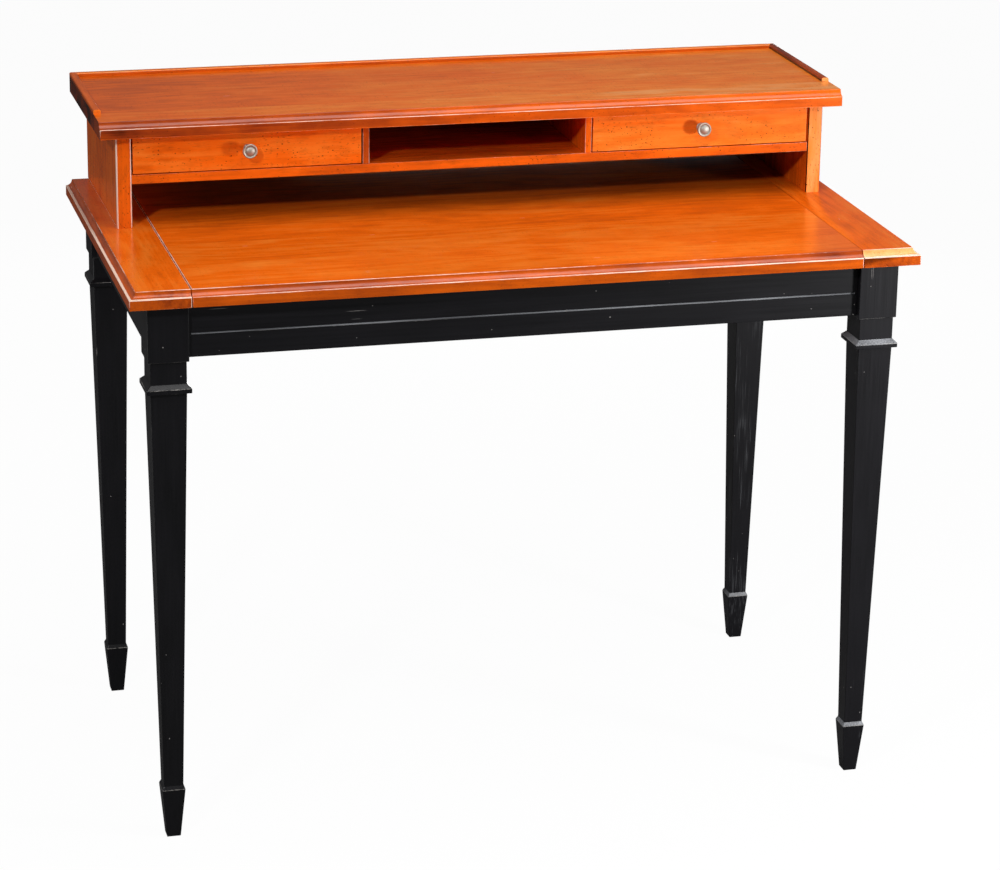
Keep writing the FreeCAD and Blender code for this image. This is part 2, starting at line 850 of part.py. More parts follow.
def build_knob(name, middle):
    """Mushroom knob: base ring, stem, flared disc, raised rim and low dome."""
    at = (middle, "drawer_face", "knob_z")
    flare_y = "knob_face + knob_flare"
    pieces = [
        rod(f"{name}_base", "knob_base_radius", "knob_base_thick", "-y", at),
        rod(f"{name}_stem", "knob_stem_radius", "knob_rise", "-y", at),
        cone(
            f"{name}_flare",
            "knob_stem_radius",
            "knob_radius",
            "knob_flare",
            "-y",
            (middle, flare_y, "knob_z"),
        ),
        rod(f"{name}_disc", "knob_radius", "knob_disc", "-y", (middle, "knob_face", "knob_z")),
    ]
    face_at = (middle, "knob_front", "knob_z")
    rim_edge = "knob_radius - knob_rim_bevel"
    dish_edge = "knob_radius - knob_rim_width"
    brow_at = (middle, "knob_front - knob_brow_rise", "knob_z")
    tip_length = "knob_dome_rise - knob_brow_rise"
    rim = cone(f"{name}_rim", "knob_radius", rim_edge, "knob_rim_rise", "-y", face_at)
    dish = cone(
        f"{name}_dish",
        f"{dish_edge} - knob_dish_bevel",
        dish_edge,
        "knob_rim_rise",
        "-y",
        face_at,
    )
    pieces += [
        carve(f"{name}_ring", rim, [dish]),
        cone(f"{name}_brow", "knob_dome_radius", "knob_brow_radius", "knob_brow_rise", "-y", face_at),
        cone(f"{name}_tip", "knob_brow_radius", "knob_tip_radius", tip_length, "-y", brow_at),
    ]
    bore = peg(f"{name}_bore", "bolt_radius + glue_gap", "knob_bore_depth", "-y", at)
    return carve(name, fuse(f"{name}_turned", pieces), [bore])


def build_drawer(side_name, side):
    """Drawer: lapped dovetails at the front, housed back, grooved bottom and a knob."""
    name = f"drawer_{side_name}"
    middle = f"{side} * drawer_mid"
    heights = ("side_base", "side_top")
    quarter = "(side_top - side_base) / 4"
    tail_heights = (f"side_base + {quarter}", f"side_top - {quarter}")
    ply = (
        about(middle, "side_inner + ply_groove - glue_gap"),
        ("drawer_root - ply_groove + glue_gap", "drawer_end"),
        ("ply_base", "ply_top"),
    )
    ply_heights = grown(("ply_base", "ply_top"))
    front = box(
        f"{name}_front_blank",
        about(middle, "drawer_half"),
        ("drawer_face", "drawer_root"),
        ("front_base", "front_top"),
    )
    front_tools = [
        box(
            f"{name}_front_groove",
            about(middle, "side_inner + ply_groove"),
            ("drawer_root - ply_groove", "drawer_root + overrun"),
            ply_heights,
        ),
        peg(
            f"{name}_front_bore",
            "bolt_radius + glue_gap",
            "front_thick + 2 * overrun",
            "+y",
            (middle, "drawer_face - overrun", "knob_z"),
        ),
    ]
    for hand_name, hand in LEFT_RIGHT.items():
        part = f"{name}_side_{hand_name}"
        low, high = side_span(hand, "side_inner", "drawer_half")
        xs = (f"{middle} + ({low})", f"{middle} + ({high})")
        pieces = [box(f"{part}_blank", xs, ("drawer_root", "drawer_end"), heights)]
        low, high = side_span(hand, "side_inner - glue_gap", "drawer_half + overrun")
        socket_xs = (f"{middle} + ({low})", f"{middle} + ({high})")
        for number, height in enumerate(tail_heights):
            pieces.append(tail(f"{part}_tail_{number}", xs, height))
            front_tools.append(tail(f"{part}_socket_{number}", socket_xs, height, "glue_gap"))
        inner_low, inner_high = side_span(hand, "side_inner - overrun", "side_inner + ply_groove")
        groove = box(
            f"{part}_groove",
            (f"{middle} + ({inner_low})", f"{middle} + ({inner_high})"),
            ("drawer_lap - overrun", "drawer_end + overrun"),
            ply_heights,
        )
        house_low, house_high = side_span(
            hand, "side_inner - overrun", "side_inner + back_board_housing"
        )
        housing = box(
            f"{part}_housing",
            (f"{middle} + ({house_low})", f"{middle} + ({house_high})"),
            grown(("back_board_end - back_board_thick", "back_board_end")),
            ("ply_top", "side_top + overrun"),
        )
        node(carve(part, fuse(f"{part}_joined", pieces), [groove, housing]), part)
    node(carve(f"{name}_front", front, front_tools), f"{name}_front")
    node(box(f"{name}_bottom", *ply), f"{name}_bottom")
    back = box(
        f"{name}_back",
        about(middle, "side_inner + back_board_housing - glue_gap"),
        ("back_board_end - back_board_thick", "back_board_end"),
        ("ply_top", "side_top"),
    )
    node(back, f"{name}_back")
    node(build_knob(f"knob_{side_name}", middle), f"knob_{side_name}")
    bolt_at = (middle, "drawer_root", "knob_z")
    bolt = fuse(
        f"knob_bolt_{side_name}",
        [
            peg(f"{name}_bolt_shank", "bolt_radius", "front_thick + bolt_bite", "-y", bolt_at),
            peg(f"{name}_bolt_head", "bolt_head_radius", "bolt_head_height", "+y", bolt_at),
        ],
    )
    node(bolt, f"knob_bolt_{side_name}")


def build_drawer_stops():
    """Blocks on the shelf that the closed drawers meet."""
    stops = []
    for side in LEFT_RIGHT.values():
        for step in (-1, 1):
            middle = f"{side} * drawer_mid + {step} * stop_offset"
            stops.append(
                box(
                    f"drawer_stop_{len(stops)}",
                    about(middle, "stop_width / 2"),
                    ("drawer_end + running_gap", "drawer_end + running_gap + stop_thick"),
                    ("shelf_top", "shelf_top + stop_height"),
                )
            )
    node(gather("drawer_stop_set", stops), "drawer_stops")


def build():
    """Build every piece of the table and the hutch."""
    for end_name, end in FRONT_BACK.items():
        build_long_apron(end_name, end)
        for side_name, side in LEFT_RIGHT.items():
            build_leg(end_name, end, side_name, side)
    build_under_frame()
    for side_name, side in LEFT_RIGHT.items():
        build_short_apron(side_name, side)
        build_end_board(side_name, side)
        build_hutch_side(side_name, side)
    build_slide()
    build_hutch_boards()
    build_gallery()
    for side_name, side in LEFT_RIGHT.items():
        build_drawer(side_name, side)
    build_drawer_stops()


def export():
    """Recompute, test every piece and write its file."""
    doc.recompute()
    for item in doc.Objects:
        if "Invalid" in item.State or "Error" in item.State:
            raise RuntimeError(f"{item.Label} did not compute: {item.State}")
    os.makedirs("parts", exist_ok=True)
    for item in nodes:
        if item.Shape.isNull() or not item.Shape.isValid() or not item.Shape.Solids:
            raise RuntimeError(f"{item.Label} is not a sound solid")
        item.Shape.exportStep(f"parts/{item.Label}.step")


fill_sheet()
build()
export()
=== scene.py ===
"""Looks of a bonheur du jour: cherry top and hutch, black tapered legs, pewter knobs."""

import json
import logging
import math
from dataclasses import dataclass, field
from enum import Enum
from typing import Any

import bmesh
import bpy
import numpy as np
from mathutils import Matrix, Vector


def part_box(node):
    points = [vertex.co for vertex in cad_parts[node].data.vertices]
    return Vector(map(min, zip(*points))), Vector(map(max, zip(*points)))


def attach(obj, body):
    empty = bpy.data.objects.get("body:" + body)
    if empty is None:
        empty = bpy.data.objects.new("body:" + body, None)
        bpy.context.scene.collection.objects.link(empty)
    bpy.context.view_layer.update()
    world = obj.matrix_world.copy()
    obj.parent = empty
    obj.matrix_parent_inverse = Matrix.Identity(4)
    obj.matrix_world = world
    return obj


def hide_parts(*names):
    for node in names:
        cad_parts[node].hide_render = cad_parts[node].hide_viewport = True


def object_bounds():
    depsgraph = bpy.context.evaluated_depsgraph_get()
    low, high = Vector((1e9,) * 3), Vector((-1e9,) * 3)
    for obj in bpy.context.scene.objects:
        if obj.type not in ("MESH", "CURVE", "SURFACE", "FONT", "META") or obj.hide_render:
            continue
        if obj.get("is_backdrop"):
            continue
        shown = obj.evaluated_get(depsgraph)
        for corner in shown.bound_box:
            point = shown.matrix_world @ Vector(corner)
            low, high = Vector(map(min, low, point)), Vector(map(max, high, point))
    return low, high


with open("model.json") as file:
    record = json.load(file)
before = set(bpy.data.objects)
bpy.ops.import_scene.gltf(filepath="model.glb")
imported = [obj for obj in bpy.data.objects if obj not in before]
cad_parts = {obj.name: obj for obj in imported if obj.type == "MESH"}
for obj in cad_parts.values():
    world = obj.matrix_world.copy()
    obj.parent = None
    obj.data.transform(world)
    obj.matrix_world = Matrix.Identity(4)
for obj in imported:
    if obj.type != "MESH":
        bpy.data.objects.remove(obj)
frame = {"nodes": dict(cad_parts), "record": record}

LOG = logging.getLogger("bonheur_du_jour")
MM = 0.001
FRAME_WIDTH_PX = 1000
FRAME_HEIGHT_PX = 870
SENSOR_MM = 36.0
WHITE = "#FFFFFF"
# Beyond every edge of the desk.
FAR_MM = 1e4
# Sockets of a Mix node that mixes colours.
SHARE, BELOW, ABOVE, MIXED = 0, 6, 7, 2
# Smallest mark as a share of the largest, and lean of the grid of marks along the grain with depth.
SMALLEST, SLANT = 0.3, 0.37
# Limits on a face's normal: upright, level, looking down, to the front, and to the front left.
UPRIGHT, LEVEL, DOWN, AHEAD, TURNED = 0.05, 0.995, -0.5, -0.9, -0.2
# A face this near to the height of an incised line, and smaller than this, belongs to the line.
LINE_REACH_MM, LINE_AREA_MM2 = 1.0, 4000.0
# Shares of a board's offset along, across and into the grain.
SHIFT_SHARES = (1.0, 0.37, 0.11)
# Before edges are softened, vertices nearer than this, in metres, and flatter faces are joined.
WELD, FLAT = 1e-6, math.radians(0.5)
# An edge this near to the plane of a row belongs to the row.
ROW_REACH_MM = 1.6
# Nearness to a former edge, as a share of the radius, that counts as fully rubbed.
CREST = 0.58

Material = bpy.types.Material
Mesh = bpy.types.Mesh
Piece = bpy.types.Object
Socket = bpy.types.NodeSocket
Colour = tuple[float, float, float, float]
Stops = tuple[tuple[float, str], ...]
Triple = tuple[float, float, float]


def linear(code: str) -> Colour:
    """Turn an sRGB hex code into a linear colour.

    Args:
        code: Six hex digits, with or without a leading hash.

    Returns:
        Red, green, blue and alpha.
    """
    digits = code.lstrip("#")
    parts = np.array([int(digits[i : i + 2], 16) for i in (0, 2, 4)]) / 255.0
    low = parts / 12.92
    high = ((parts + 0.055) / 1.055) ** 2.4
    red, green, blue = np.where(parts <= 0.04045, low, high).tolist()
    return red, green, blue, 1.0


class Axis(Enum):
    """Axis of the frame."""

    X = 0
    Y = 1
    Z = 2


class Slot(Enum):
    """Material slot of the record."""

    CHERRY = "cherry"
    BLACK = "black_paint"
    BEECH = "beech"
    PLY = "plywood"
    PEWTER = "pewter"
    STEEL = "steel"


@dataclass(frozen=True)
class Cloud:
    """Soft patches of noise, blended into a level by their weight."""

    # Size of the patches along, across and into the grain, and number and strength of finer layers.
    pitch_mm: Triple
    detail: float = 2.0
    rough: float = 0.5
    weight: float = 0.0


@dataclass(frozen=True)
class Flecks:
    """Small scattered marks, one at most in each cell of a grid."""

    # Size of a cell along and across the grain, share of the cells that hold a mark, radius of the
    # largest mark as a share of the cell, and how far a mark covers what is below.
    pitch_mm: tuple[float, float]
    share: float
    reach: float
    strength: float = 1.0


@dataclass(frozen=True)
class Rubbing:
    """How a finish gives way on handled edges."""

    # Wear at which the wood starts to show, at which only wood shows, and on the crest of a ridge.
    low: float
    high: float
    ridge_wear: float = 1.25
    # Broad and fine patches that break up the wear.
    patches: tuple[Cloud, ...] = (
        Cloud((70.0, 16.0, 16.0), 3.0, 0.6, weight=0.9),
        Cloud((6.0, 2.5, 2.5), 2.0, 0.6, weight=0.4),
    )


class Graph:
    """Node tree of a material or a world."""

    def __init__(self, owner: Material | bpy.types.World) -> None:
        """Start an empty tree.

        Args:
            owner: Material or world that holds the tree.
        """
        owner.use_nodes = True
        self.owner = owner
        self.tree = owner.node_tree
        self.tree.nodes.clear()

    def add(
        self, kind: str, inputs: Any = (), out: int | str = 0, stops: Stops = (), **settings: Any
    ) -> Socket | None:
        """Add a node with its settings and links.

        Args:
            kind: Node type without its prefix.
            inputs: Values or sockets in order, or a dictionary from socket name or number.
            out: Output to hand back.
            stops: Rising places and sRGB codes of a colour ramp.
            **settings: Properties of the node.

        Returns:
            The chosen output, or nothing for a node without outputs.
        """
        node = self.tree.nodes.new("ShaderNode" + kind)
        for prop, value in settings.items():
            setattr(node, prop, value)
        pairs = inputs.items() if isinstance(inputs, dict) else enumerate(inputs)
        for key, value in pairs:
            if isinstance(value, Socket):
                self.tree.links.new(value, node.inputs[key])
            else:
                node.inputs[key].default_value = value
        for number, (place, code) in enumerate(stops):
            elements = node.color_ramp.elements
            element = elements[number] if number < len(elements) else elements.new(place)
            element.position = place
            element.color = linear(code)
        return node.outputs[out] if len(node.outputs) else None

    def cloud(self, place: Socket, patches: Cloud) -> Socket:
        """Draw soft patches: noise on coordinates that are divided by the pitch along each axis.

        Args:
            place: Coordinates in mm.
            patches: Size and detail of the patches.

        Returns:
            Noise between 0 and 1.
        """
        shrink = tuple(1.0 / pitch for pitch in patches.pitch_mm)
        scaled = self.add("VectorMath", (place, shrink), operation="MULTIPLY")
        inputs = {"Vector": scaled, "Scale": 1.0, "Detail": patches.detail, "Roughness": patches.rough}
        return self.add("TexNoise", inputs)

    def flecks(self, place: Socket, marks: Flecks) -> Socket:
        """Draw scattered marks: one soft-edged spot in each kept cell of a flat Voronoi grid.

        The grid lies slantwise through the board, so that every face shows round marks.

        Args:
            place: Coordinates in mm.
            marks: Size and number of the marks.

        Returns:
            1 inside a mark and 0 outside, whatever the marks' strength.
        """
        along, across = (1.0 / pitch for pitch in marks.pitch_mm)
        rows = ((along, 0.0, SLANT * along), (0.0, across, across))
        flat = [self.add("VectorMath", (place, row), out="Value", operation="DOT_PRODUCT") for row in rows]
        grid = {"Vector": self.add("CombineXYZ", flat), "Scale": 1.0}
        cell = self.add("TexVoronoi", grid, voronoi_dimensions="2D")
        lot = self.add("SeparateColor", (cell.node.outputs["Color"],))
        kept = self.add("Math", (lot, marks.share), operation="LESS_THAN")
        least = marks.reach * SMALLEST
        sizes = (lot.node.outputs["Green"], marks.reach - least, least)
        radius = self.add("Math", sizes, operation="MULTIPLY_ADD")
        inner = self.add("Math", (cell, radius), operation="DIVIDE")
        soft = self.add("MapRange", (inner, 0.5, 1.0, 1.0, 0.0), interpolation_type="SMOOTHSTEP")
        return self.add("Math", (kept, soft), operation="MULTIPLY")

    def blend(self, level: Socket, *parts: tuple[Socket, float]) -> Socket:
        """Add patterns to a level, each centred on 0 and multiplied by its weight.

        Args:
            level: Level to start from.
            *parts: Patterns between 0 and 1 with their weights.

        Returns:
            The new level.
        """
        for pattern, weight in parts:
            centred = self.add("Math", (pattern, 0.5), operation="SUBTRACT")
            level = self.add("Math", (centred, weight, level), operation="MULTIPLY_ADD")
        return level

    def coat(self, base: Socket, *layers: tuple[Socket, str]) -> Socket:
        """Lay colours over a base, each by its own share.

        Args:
            base: Colour below.
            *layers: Shares between 0 and 1 with sRGB codes, from the lowest layer up.

        Returns:
            The colour on top.
        """
        for share, code in layers:
            inputs = {SHARE: share, BELOW: base, ABOVE: linear(code)}
            base = self.add("Mix", inputs, out=MIXED, data_type="RGBA")
        return base

    def rubbed(self, place: Socket, rubbing: Rubbing) -> Socket:
        """Draw bare patches: the mesh's wear or nearness to its ridge, plus noise, cut off softly.

        Args:
            place: Coordinates in mm.
            rubbing: Limits and patches of the wear.

        Returns:
            1 on bare wood and 0 on the finish.
        """
        wear = self.add("Attribute", attribute_name="wear", out="Fac")
        height = self.add("Attribute", attribute_name="ridge", out="Fac")
        away = self.add("Math", (height,), operation="ABSOLUTE")
        near = self.add("MapRange", (away, 0.0, 1.0, rubbing.ridge_wear, 0.0))
        level = self.add("Math", (wear, near), operation="MAXIMUM")
        for patches in rubbing.patches:
            level = self.blend(level, (self.cloud(place, patches), patches.weight))
        limits = (level, rubbing.low, rubbing.high, 0.0, 1.0)
        return self.add("MapRange", limits, interpolation_type="SMOOTHSTEP")

    def surface(
        self, base: Socket, gloss: Socket, height: Socket, relief_mm: float, **more: float
    ) -> Material:
        """Finish the tree with one principled surface.

        Args:
            base: Colour.
            gloss: Roughness.
            height: Relief as a share of its full height.
            relief_mm: Full height of the relief.
            **more: Further values of the surface.

        Returns:
            The finished material.
        """
        normal = self.add("Bump", {"Height": height, "Distance": relief_mm * MM, "Strength": 1.0})
        inputs = {"Base Color": base, "Roughness": gloss, "Normal": normal, **more}
        self.add("OutputMaterial", {"Surface": self.add("BsdfPrincipled", inputs)})
        return self.owner


@dataclass(frozen=True)
class CherryLacquer:
    """Planed cherry under warm satin lacquer, its arrises rubbed through and its face pricked by worm."""

    name: str = "lacquered_cherry"
    # Colours of the wood from dark to light, and the place on them of a tone of 0; the darkest are reached
    # mainly by painted shade, the palest by painted highlights.
    stops: Stops = (
        (0.0, "#2A0E04"), (0.1, "#8A3310"), (0.3, "#C2500E"),
        (0.52, "#EC660C"), (0.76, "#F2832A"), (1.0, "#F2A866"),
    )
    middle: float = 0.52
    # Rubbed wood, worm holes, and the dark of pores, specks and smudges.
    bare: str = "#F7D6C2"
    hole: str = "#3A1203"
    glaze: str = "#5E1E08"
    # Least roughness, its growth over the mottle, and what rubbing adds.
    smoothest: float = 0.16
    spread: float = 0.08
    dulling: float = 0.3
    ior: float = 1.45
    # Height of the fibres, and depth of pores and holes as a share of it.
    relief_mm: float = 0.02
    pit: float = 0.7
    # Largest shift of one stave's wood against the next, and range of tone between staves.
    shuffle_mm: Triple = (900.0, 300.0, 0.0)
    stave_weight: float = 0.18
    # Width of a growth ring on the face, and range of tone within it.
    ring_mm: float = 26.0
    ring_weight: float = 0.08
    rubbing: Rubbing = Rubbing(0.45, 0.85)
    # Fibres and pores are a few tenths of a millimetre wide, and are drawn coarser so that they show.
    fibre: Cloud = Cloud((150.0, 4.0, 4.0), 3.0, 0.55, weight=0.26)
    mottle: Cloud = Cloud((46.0, 20.0, 20.0), 3.0, 0.55, weight=0.3)
    broad: Cloud = Cloud((210.0, 60.0, 60.0), 2.0, weight=0.34)
    # The weight is the number of rings by which the warp bends the figure.
    warp: Cloud = Cloud((330.0, 70.0, 70.0), 2.0, 0.4, weight=7.0)
    pores: Flecks = Flecks((16.0, 1.5), 0.16, 0.5, strength=0.16)
    # Worm holes and short specks come in groups, with dark smudges among them.
    worm: Flecks = Flecks((7.0, 6.0), 0.34, 0.17)
    specks: Flecks = Flecks((8.0, 2.6), 0.45, 0.3, strength=0.42)
    groups: Cloud = Cloud((60.0, 40.0, 40.0), 1.0)
    group_range: tuple[float, ...] = (0.4, 0.52, 0.0, 1.0)
    smudges: Cloud = Cloud((40.0, 13.0, 13.0), 4.0, 0.7)
    smudge_range: tuple[float, ...] = (0.5, 0.75, 0.0, 0.3)
    scratches: Flecks = Flecks((44.0, 5.0), 0.004, 0.2, strength=0.4)

    def material(self) -> Material:
        """Build the material; its coordinates run along, across and into the grain in mm.

        Returns:
            The finished material.
        """
        # Soft clouds and faint fibres under a clear gloss; edges go pinkish white.
        g = Graph(bpy.data.materials.new(self.name))
        place = g.add("Attribute", attribute_name="grain", out="Vector")
        # The tone attribute holds each face's own tone together with its painted light and shade.
        names = ("tone", "holes", "stave")
        tone, holes, number = (g.add("Attribute", attribute_name=name, out="Fac") for name in names)
        stave = g.add("Math", (number,), operation="FLOOR")
        lot = g.add("TexWhiteNoise", {"W": stave}, noise_dimensions="1D")
        shift = g.add("VectorMath", (lot.node.outputs["Color"], self.shuffle_mm), operation="MULTIPLY")
        wood = g.add("VectorMath", (place, shift), operation="ADD")

        kinds = (self.fibre, self.mottle, self.broad, self.warp)
        fibre, mottle, broad, warp = (g.cloud(wood, patches) for patches in kinds)
        across = g.add("SeparateXYZ", (wood,), out="Y")
        ring = g.add("Math", (across, 1.0 / self.ring_mm), operation="MULTIPLY")
        ring = g.add("Math", (warp, self.warp.weight, ring), operation="MULTIPLY_ADD")
        turn = g.add("Math", (ring, 2.0 * math.pi), operation="MULTIPLY")
        wave = g.add("Math", (turn,), operation="SINE")
        figure = g.add("Math", (wave, 0.5, 0.5), operation="MULTIPLY_ADD")
        level = g.blend(
            g.add("Math", (tone, self.middle), operation="ADD"),
            (fibre, self.fibre.weight), (mottle, self.mottle.weight), (broad, self.broad.weight),
            (figure, self.ring_weight), (lot, self.stave_weight),
        )

        pore = g.flecks(wood, self.pores)
        shade = g.add("Math", (pore, self.pores.strength), operation="MULTIPLY")
        smudge = g.add("MapRange", (g.cloud(place, self.smudges), *self.smudge_range))
        smudge = g.add("Math", (smudge, holes), operation="MULTIPLY")
        group = g.add("MapRange", (g.cloud(place, self.groups), *self.group_range))
        pricks = []
        for marks in (self.worm, self.specks):
            prick = g.flecks(place, marks)
            for factor in (marks.strength, group, holes):
                prick = g.add("Math", (prick, factor), operation="MULTIPLY")
            pricks.append(prick)
        spot, speck = pricks
        scratch = g.flecks(place, self.scratches)
        scratch = g.add("Math", (scratch, self.scratches.strength), operation="MULTIPLY")
        bare = g.rubbed(place, self.rubbing)
        base = g.coat(
            g.add("ValToRGB", (level,), stops=self.stops),
            (shade, self.glaze), (smudge, self.glaze), (spot, self.hole),
            (speck, self.glaze), (scratch, self.bare), (bare, self.bare),
        )

        gloss = g.add("Math", (mottle, self.spread, self.smoothest), operation="MULTIPLY_ADD")
        gloss = g.add("Math", (bare, self.dulling, gloss), operation="MULTIPLY_ADD")
        pits = g.add("Math", (spot, pore), operation="ADD")
        height = g.add("Math", (pits, -self.pit, fibre), operation="MULTIPLY_ADD")
        return g.surface(base, gloss, height, self.relief_mm, IOR=self.ior)


@dataclass(frozen=True)
class BlackPaint:
    """Brushed black satin paint on wood, rubbed grey on its arrises."""

    name: str = "black_paint_on_wood"
    # Colours of the paint from dark to light, and the place on them of a tone of 0.
    stops: Stops = ((0.1, "#08080A"), (0.5, "#19181C"), (0.95, "#C9CCD2"))
    middle: float = 0.3
    nicked: str = "#A09C9A"
    bare: str = "#B9B5B0"
    # Least roughness, and its growth over the brush marks.
    smoothest: float = 0.31
    spread: float = 0.14
    ior: float = 1.45
    relief_mm: float = 0.03
    rubbing: Rubbing = Rubbing(0.45, 0.95)
    # A brush leaves finer marks; they are drawn coarser so that they show.
    brush: Cloud = Cloud((150.0, 1.6, 1.6), 3.0, 0.6, weight=0.35)
    patch: Cloud = Cloud((110.0, 36.0, 36.0), 2.0, weight=0.35)
    nicks: Flecks = Flecks((20.0, 14.0), 0.05, 0.07)
    hairlines: Flecks = Flecks((60.0, 2.0), 0.004, 0.4, strength=0.5)

    def material(self) -> Material:
        """Build the material; its coordinates run along, across and into the brush strokes in mm.

        Returns:
            The finished material.
        """
        # Nearly black with a dull sheen, fine hairlines along the strokes, pale nicks and rubbed edges.
        g = Graph(bpy.data.materials.new(self.name))
        place = g.add("Attribute", attribute_name="grain", out="Vector")
        # The tone attribute holds the paint's own tone, the pale incised line and the painted reflection
        # on the legs' ledges.
        tone = g.add("Attribute", attribute_name="tone", out="Fac")
        brush = g.cloud(place, self.brush)
        level = g.blend(
            g.add("Math", (tone, self.middle), operation="ADD"),
            (brush, self.brush.weight),
            (g.cloud(place, self.patch), self.patch.weight),
        )
        hair = g.flecks(place, self.hairlines)
        hair = g.add("Math", (hair, self.hairlines.strength), operation="MULTIPLY")
        marks = g.add("Math", (g.flecks(place, self.nicks), hair), operation="MAXIMUM")
        bare = g.rubbed(place, self.rubbing)
        base = g.add("ValToRGB", (level,), stops=self.stops)
        base = g.coat(base, (marks, self.nicked), (bare, self.bare))
        gloss = g.add("Math", (brush, self.spread, self.smoothest), operation="MULTIPLY_ADD")
        height = g.add("Math", (brush, marks), operation="SUBTRACT")
        return g.surface(base, gloss, height, self.relief_mm, IOR=self.ior)


@dataclass(frozen=True)
class BareWood:
    """Planed wood without a finish, for pieces that stay out of sight."""

    name: str
    stops: Stops
    # Fibres are drawn coarser than real ones so that they show, with short darker flecks along them.
    fibre: Cloud
    rays: Flecks
    patch: Cloud = Cloud((90.0, 90.0, 60.0), 2.0, weight=0.4)
    # Least roughness, and its growth over the fibres.
    smoothest: float = 0.5
    spread: float = 0.15
    relief_mm: float = 0.06

    def material(self) -> Material:
        """Build the material on object coordinates.

        Returns:
            The finished material.
        """
        # Pale and matt, with straight fibres and short darker flecks.
        g = Graph(bpy.data.materials.new(self.name))
        metres = g.add("TexCoord", out="Object")
        place = g.add("VectorMath", {0: metres, "Scale": 1.0 / MM}, operation="SCALE")
        fibre = g.cloud(place, self.fibre)
        level = g.add("Math", (fibre, self.fibre.weight), operation="MULTIPLY")
        level = g.blend(level, (g.cloud(place, self.patch), self.patch.weight))
        rays = g.add("Math", (g.flecks(place, self.rays), self.rays.strength), operation="MULTIPLY")
        darkest = self.stops[0][1]
        base = g.coat(g.add("ValToRGB", (level,), stops=self.stops), (rays, darkest))
        gloss = g.add("Math", (fibre, self.spread, self.smoothest), operation="MULTIPLY_ADD")
        return g.surface(base, gloss, fibre, self.relief_mm)


@dataclass(frozen=True)
class AgedMetal:
    """Handled metal, dull in its hollows and bright on its high parts."""

    name: str
    bright: str
    dull: str
    # Least roughness, and its growth over the tarnish.
    smoothest: float
    spread: float = 0.25
    # Level of parts neither high nor hollow, and levels of fully dull and fully bright ones.
    middle: float = 0.35
    limits: tuple[float, float] = (0.1, 0.7)
    tarnish: Cloud = Cloud((2.5, 2.5, 2.5), 4.0, 0.65, weight=0.6)
    relief_mm: float = 0.04

    def material(self) -> Material:
        """Build the material on object coordinates.

        Returns:
            The finished material.
        """
        # A soft grey sheen with fine tarnish; the wear attribute lifts the high parts.
        g = Graph(bpy.data.materials.new(self.name))
        metres = g.add("TexCoord", out="Object")
        place = g.add("VectorMath", {0: metres, "Scale": 1.0 / MM}, operation="SCALE")
        tarnish = g.cloud(place, self.tarnish)
        high = g.add("Attribute", attribute_name="wear", out="Fac")
        level = g.add("Math", (high, self.middle), operation="ADD")
        level = g.blend(level, (tarnish, self.tarnish.weight))
        base = g.add("ValToRGB", (level,), stops=tuple(zip(self.limits, (self.dull, self.bright))))
        gloss = g.add("Math", (tarnish, self.spread, self.smoothest), operation="MULTIPLY_ADD")
        return g.surface(base, gloss, tarnish, self.relief_mm, Metallic=1.0)


def read(items: Any, prop: str, width: int = 1) -> np.ndarray:
    """Read one property of all vertices, loops or polygons.

    Args:
        items: Vertices, loops or polygons of a mesh.
        prop: Name of the property.
        width: Numbers for each item.

    Returns:
        An array with a row for each item, flat where the width is 1.
    """
    values = np.empty(len(items) * width, np.float32)
    items.foreach_get(prop, values)
    return values.reshape(-1, width) if width > 1 else values


def store(mesh: Mesh, name: str, values: np.ndarray, domain: str = "POINT") -> None:
    """Write an attribute.

    Args:
        mesh: Mesh to write to.
        name: Name of the attribute.
        values: One number or one vector for each vertex or face corner.
        domain: POINT for vertices, CORNER for face corners.
    """
    vector = values.ndim == 2
    layer = mesh.attributes.new(name, "FLOAT_VECTOR" if vector else "FLOAT", domain)
    layer.data.foreach_set("vector" if vector else "value", values.astype(np.float32).ravel())


def corner_vertices(mesh: Mesh) -> np.ndarray:
    """Number of the vertex at each face corner."""
    return read(mesh.loops, "vertex_index").astype(int)


def to_corners(mesh: Mesh, values: np.ndarray) -> np.ndarray:
    """Repeat one value of each face for each of its corners."""
    return np.repeat(values, read(mesh.polygons, "loop_total").astype(int))


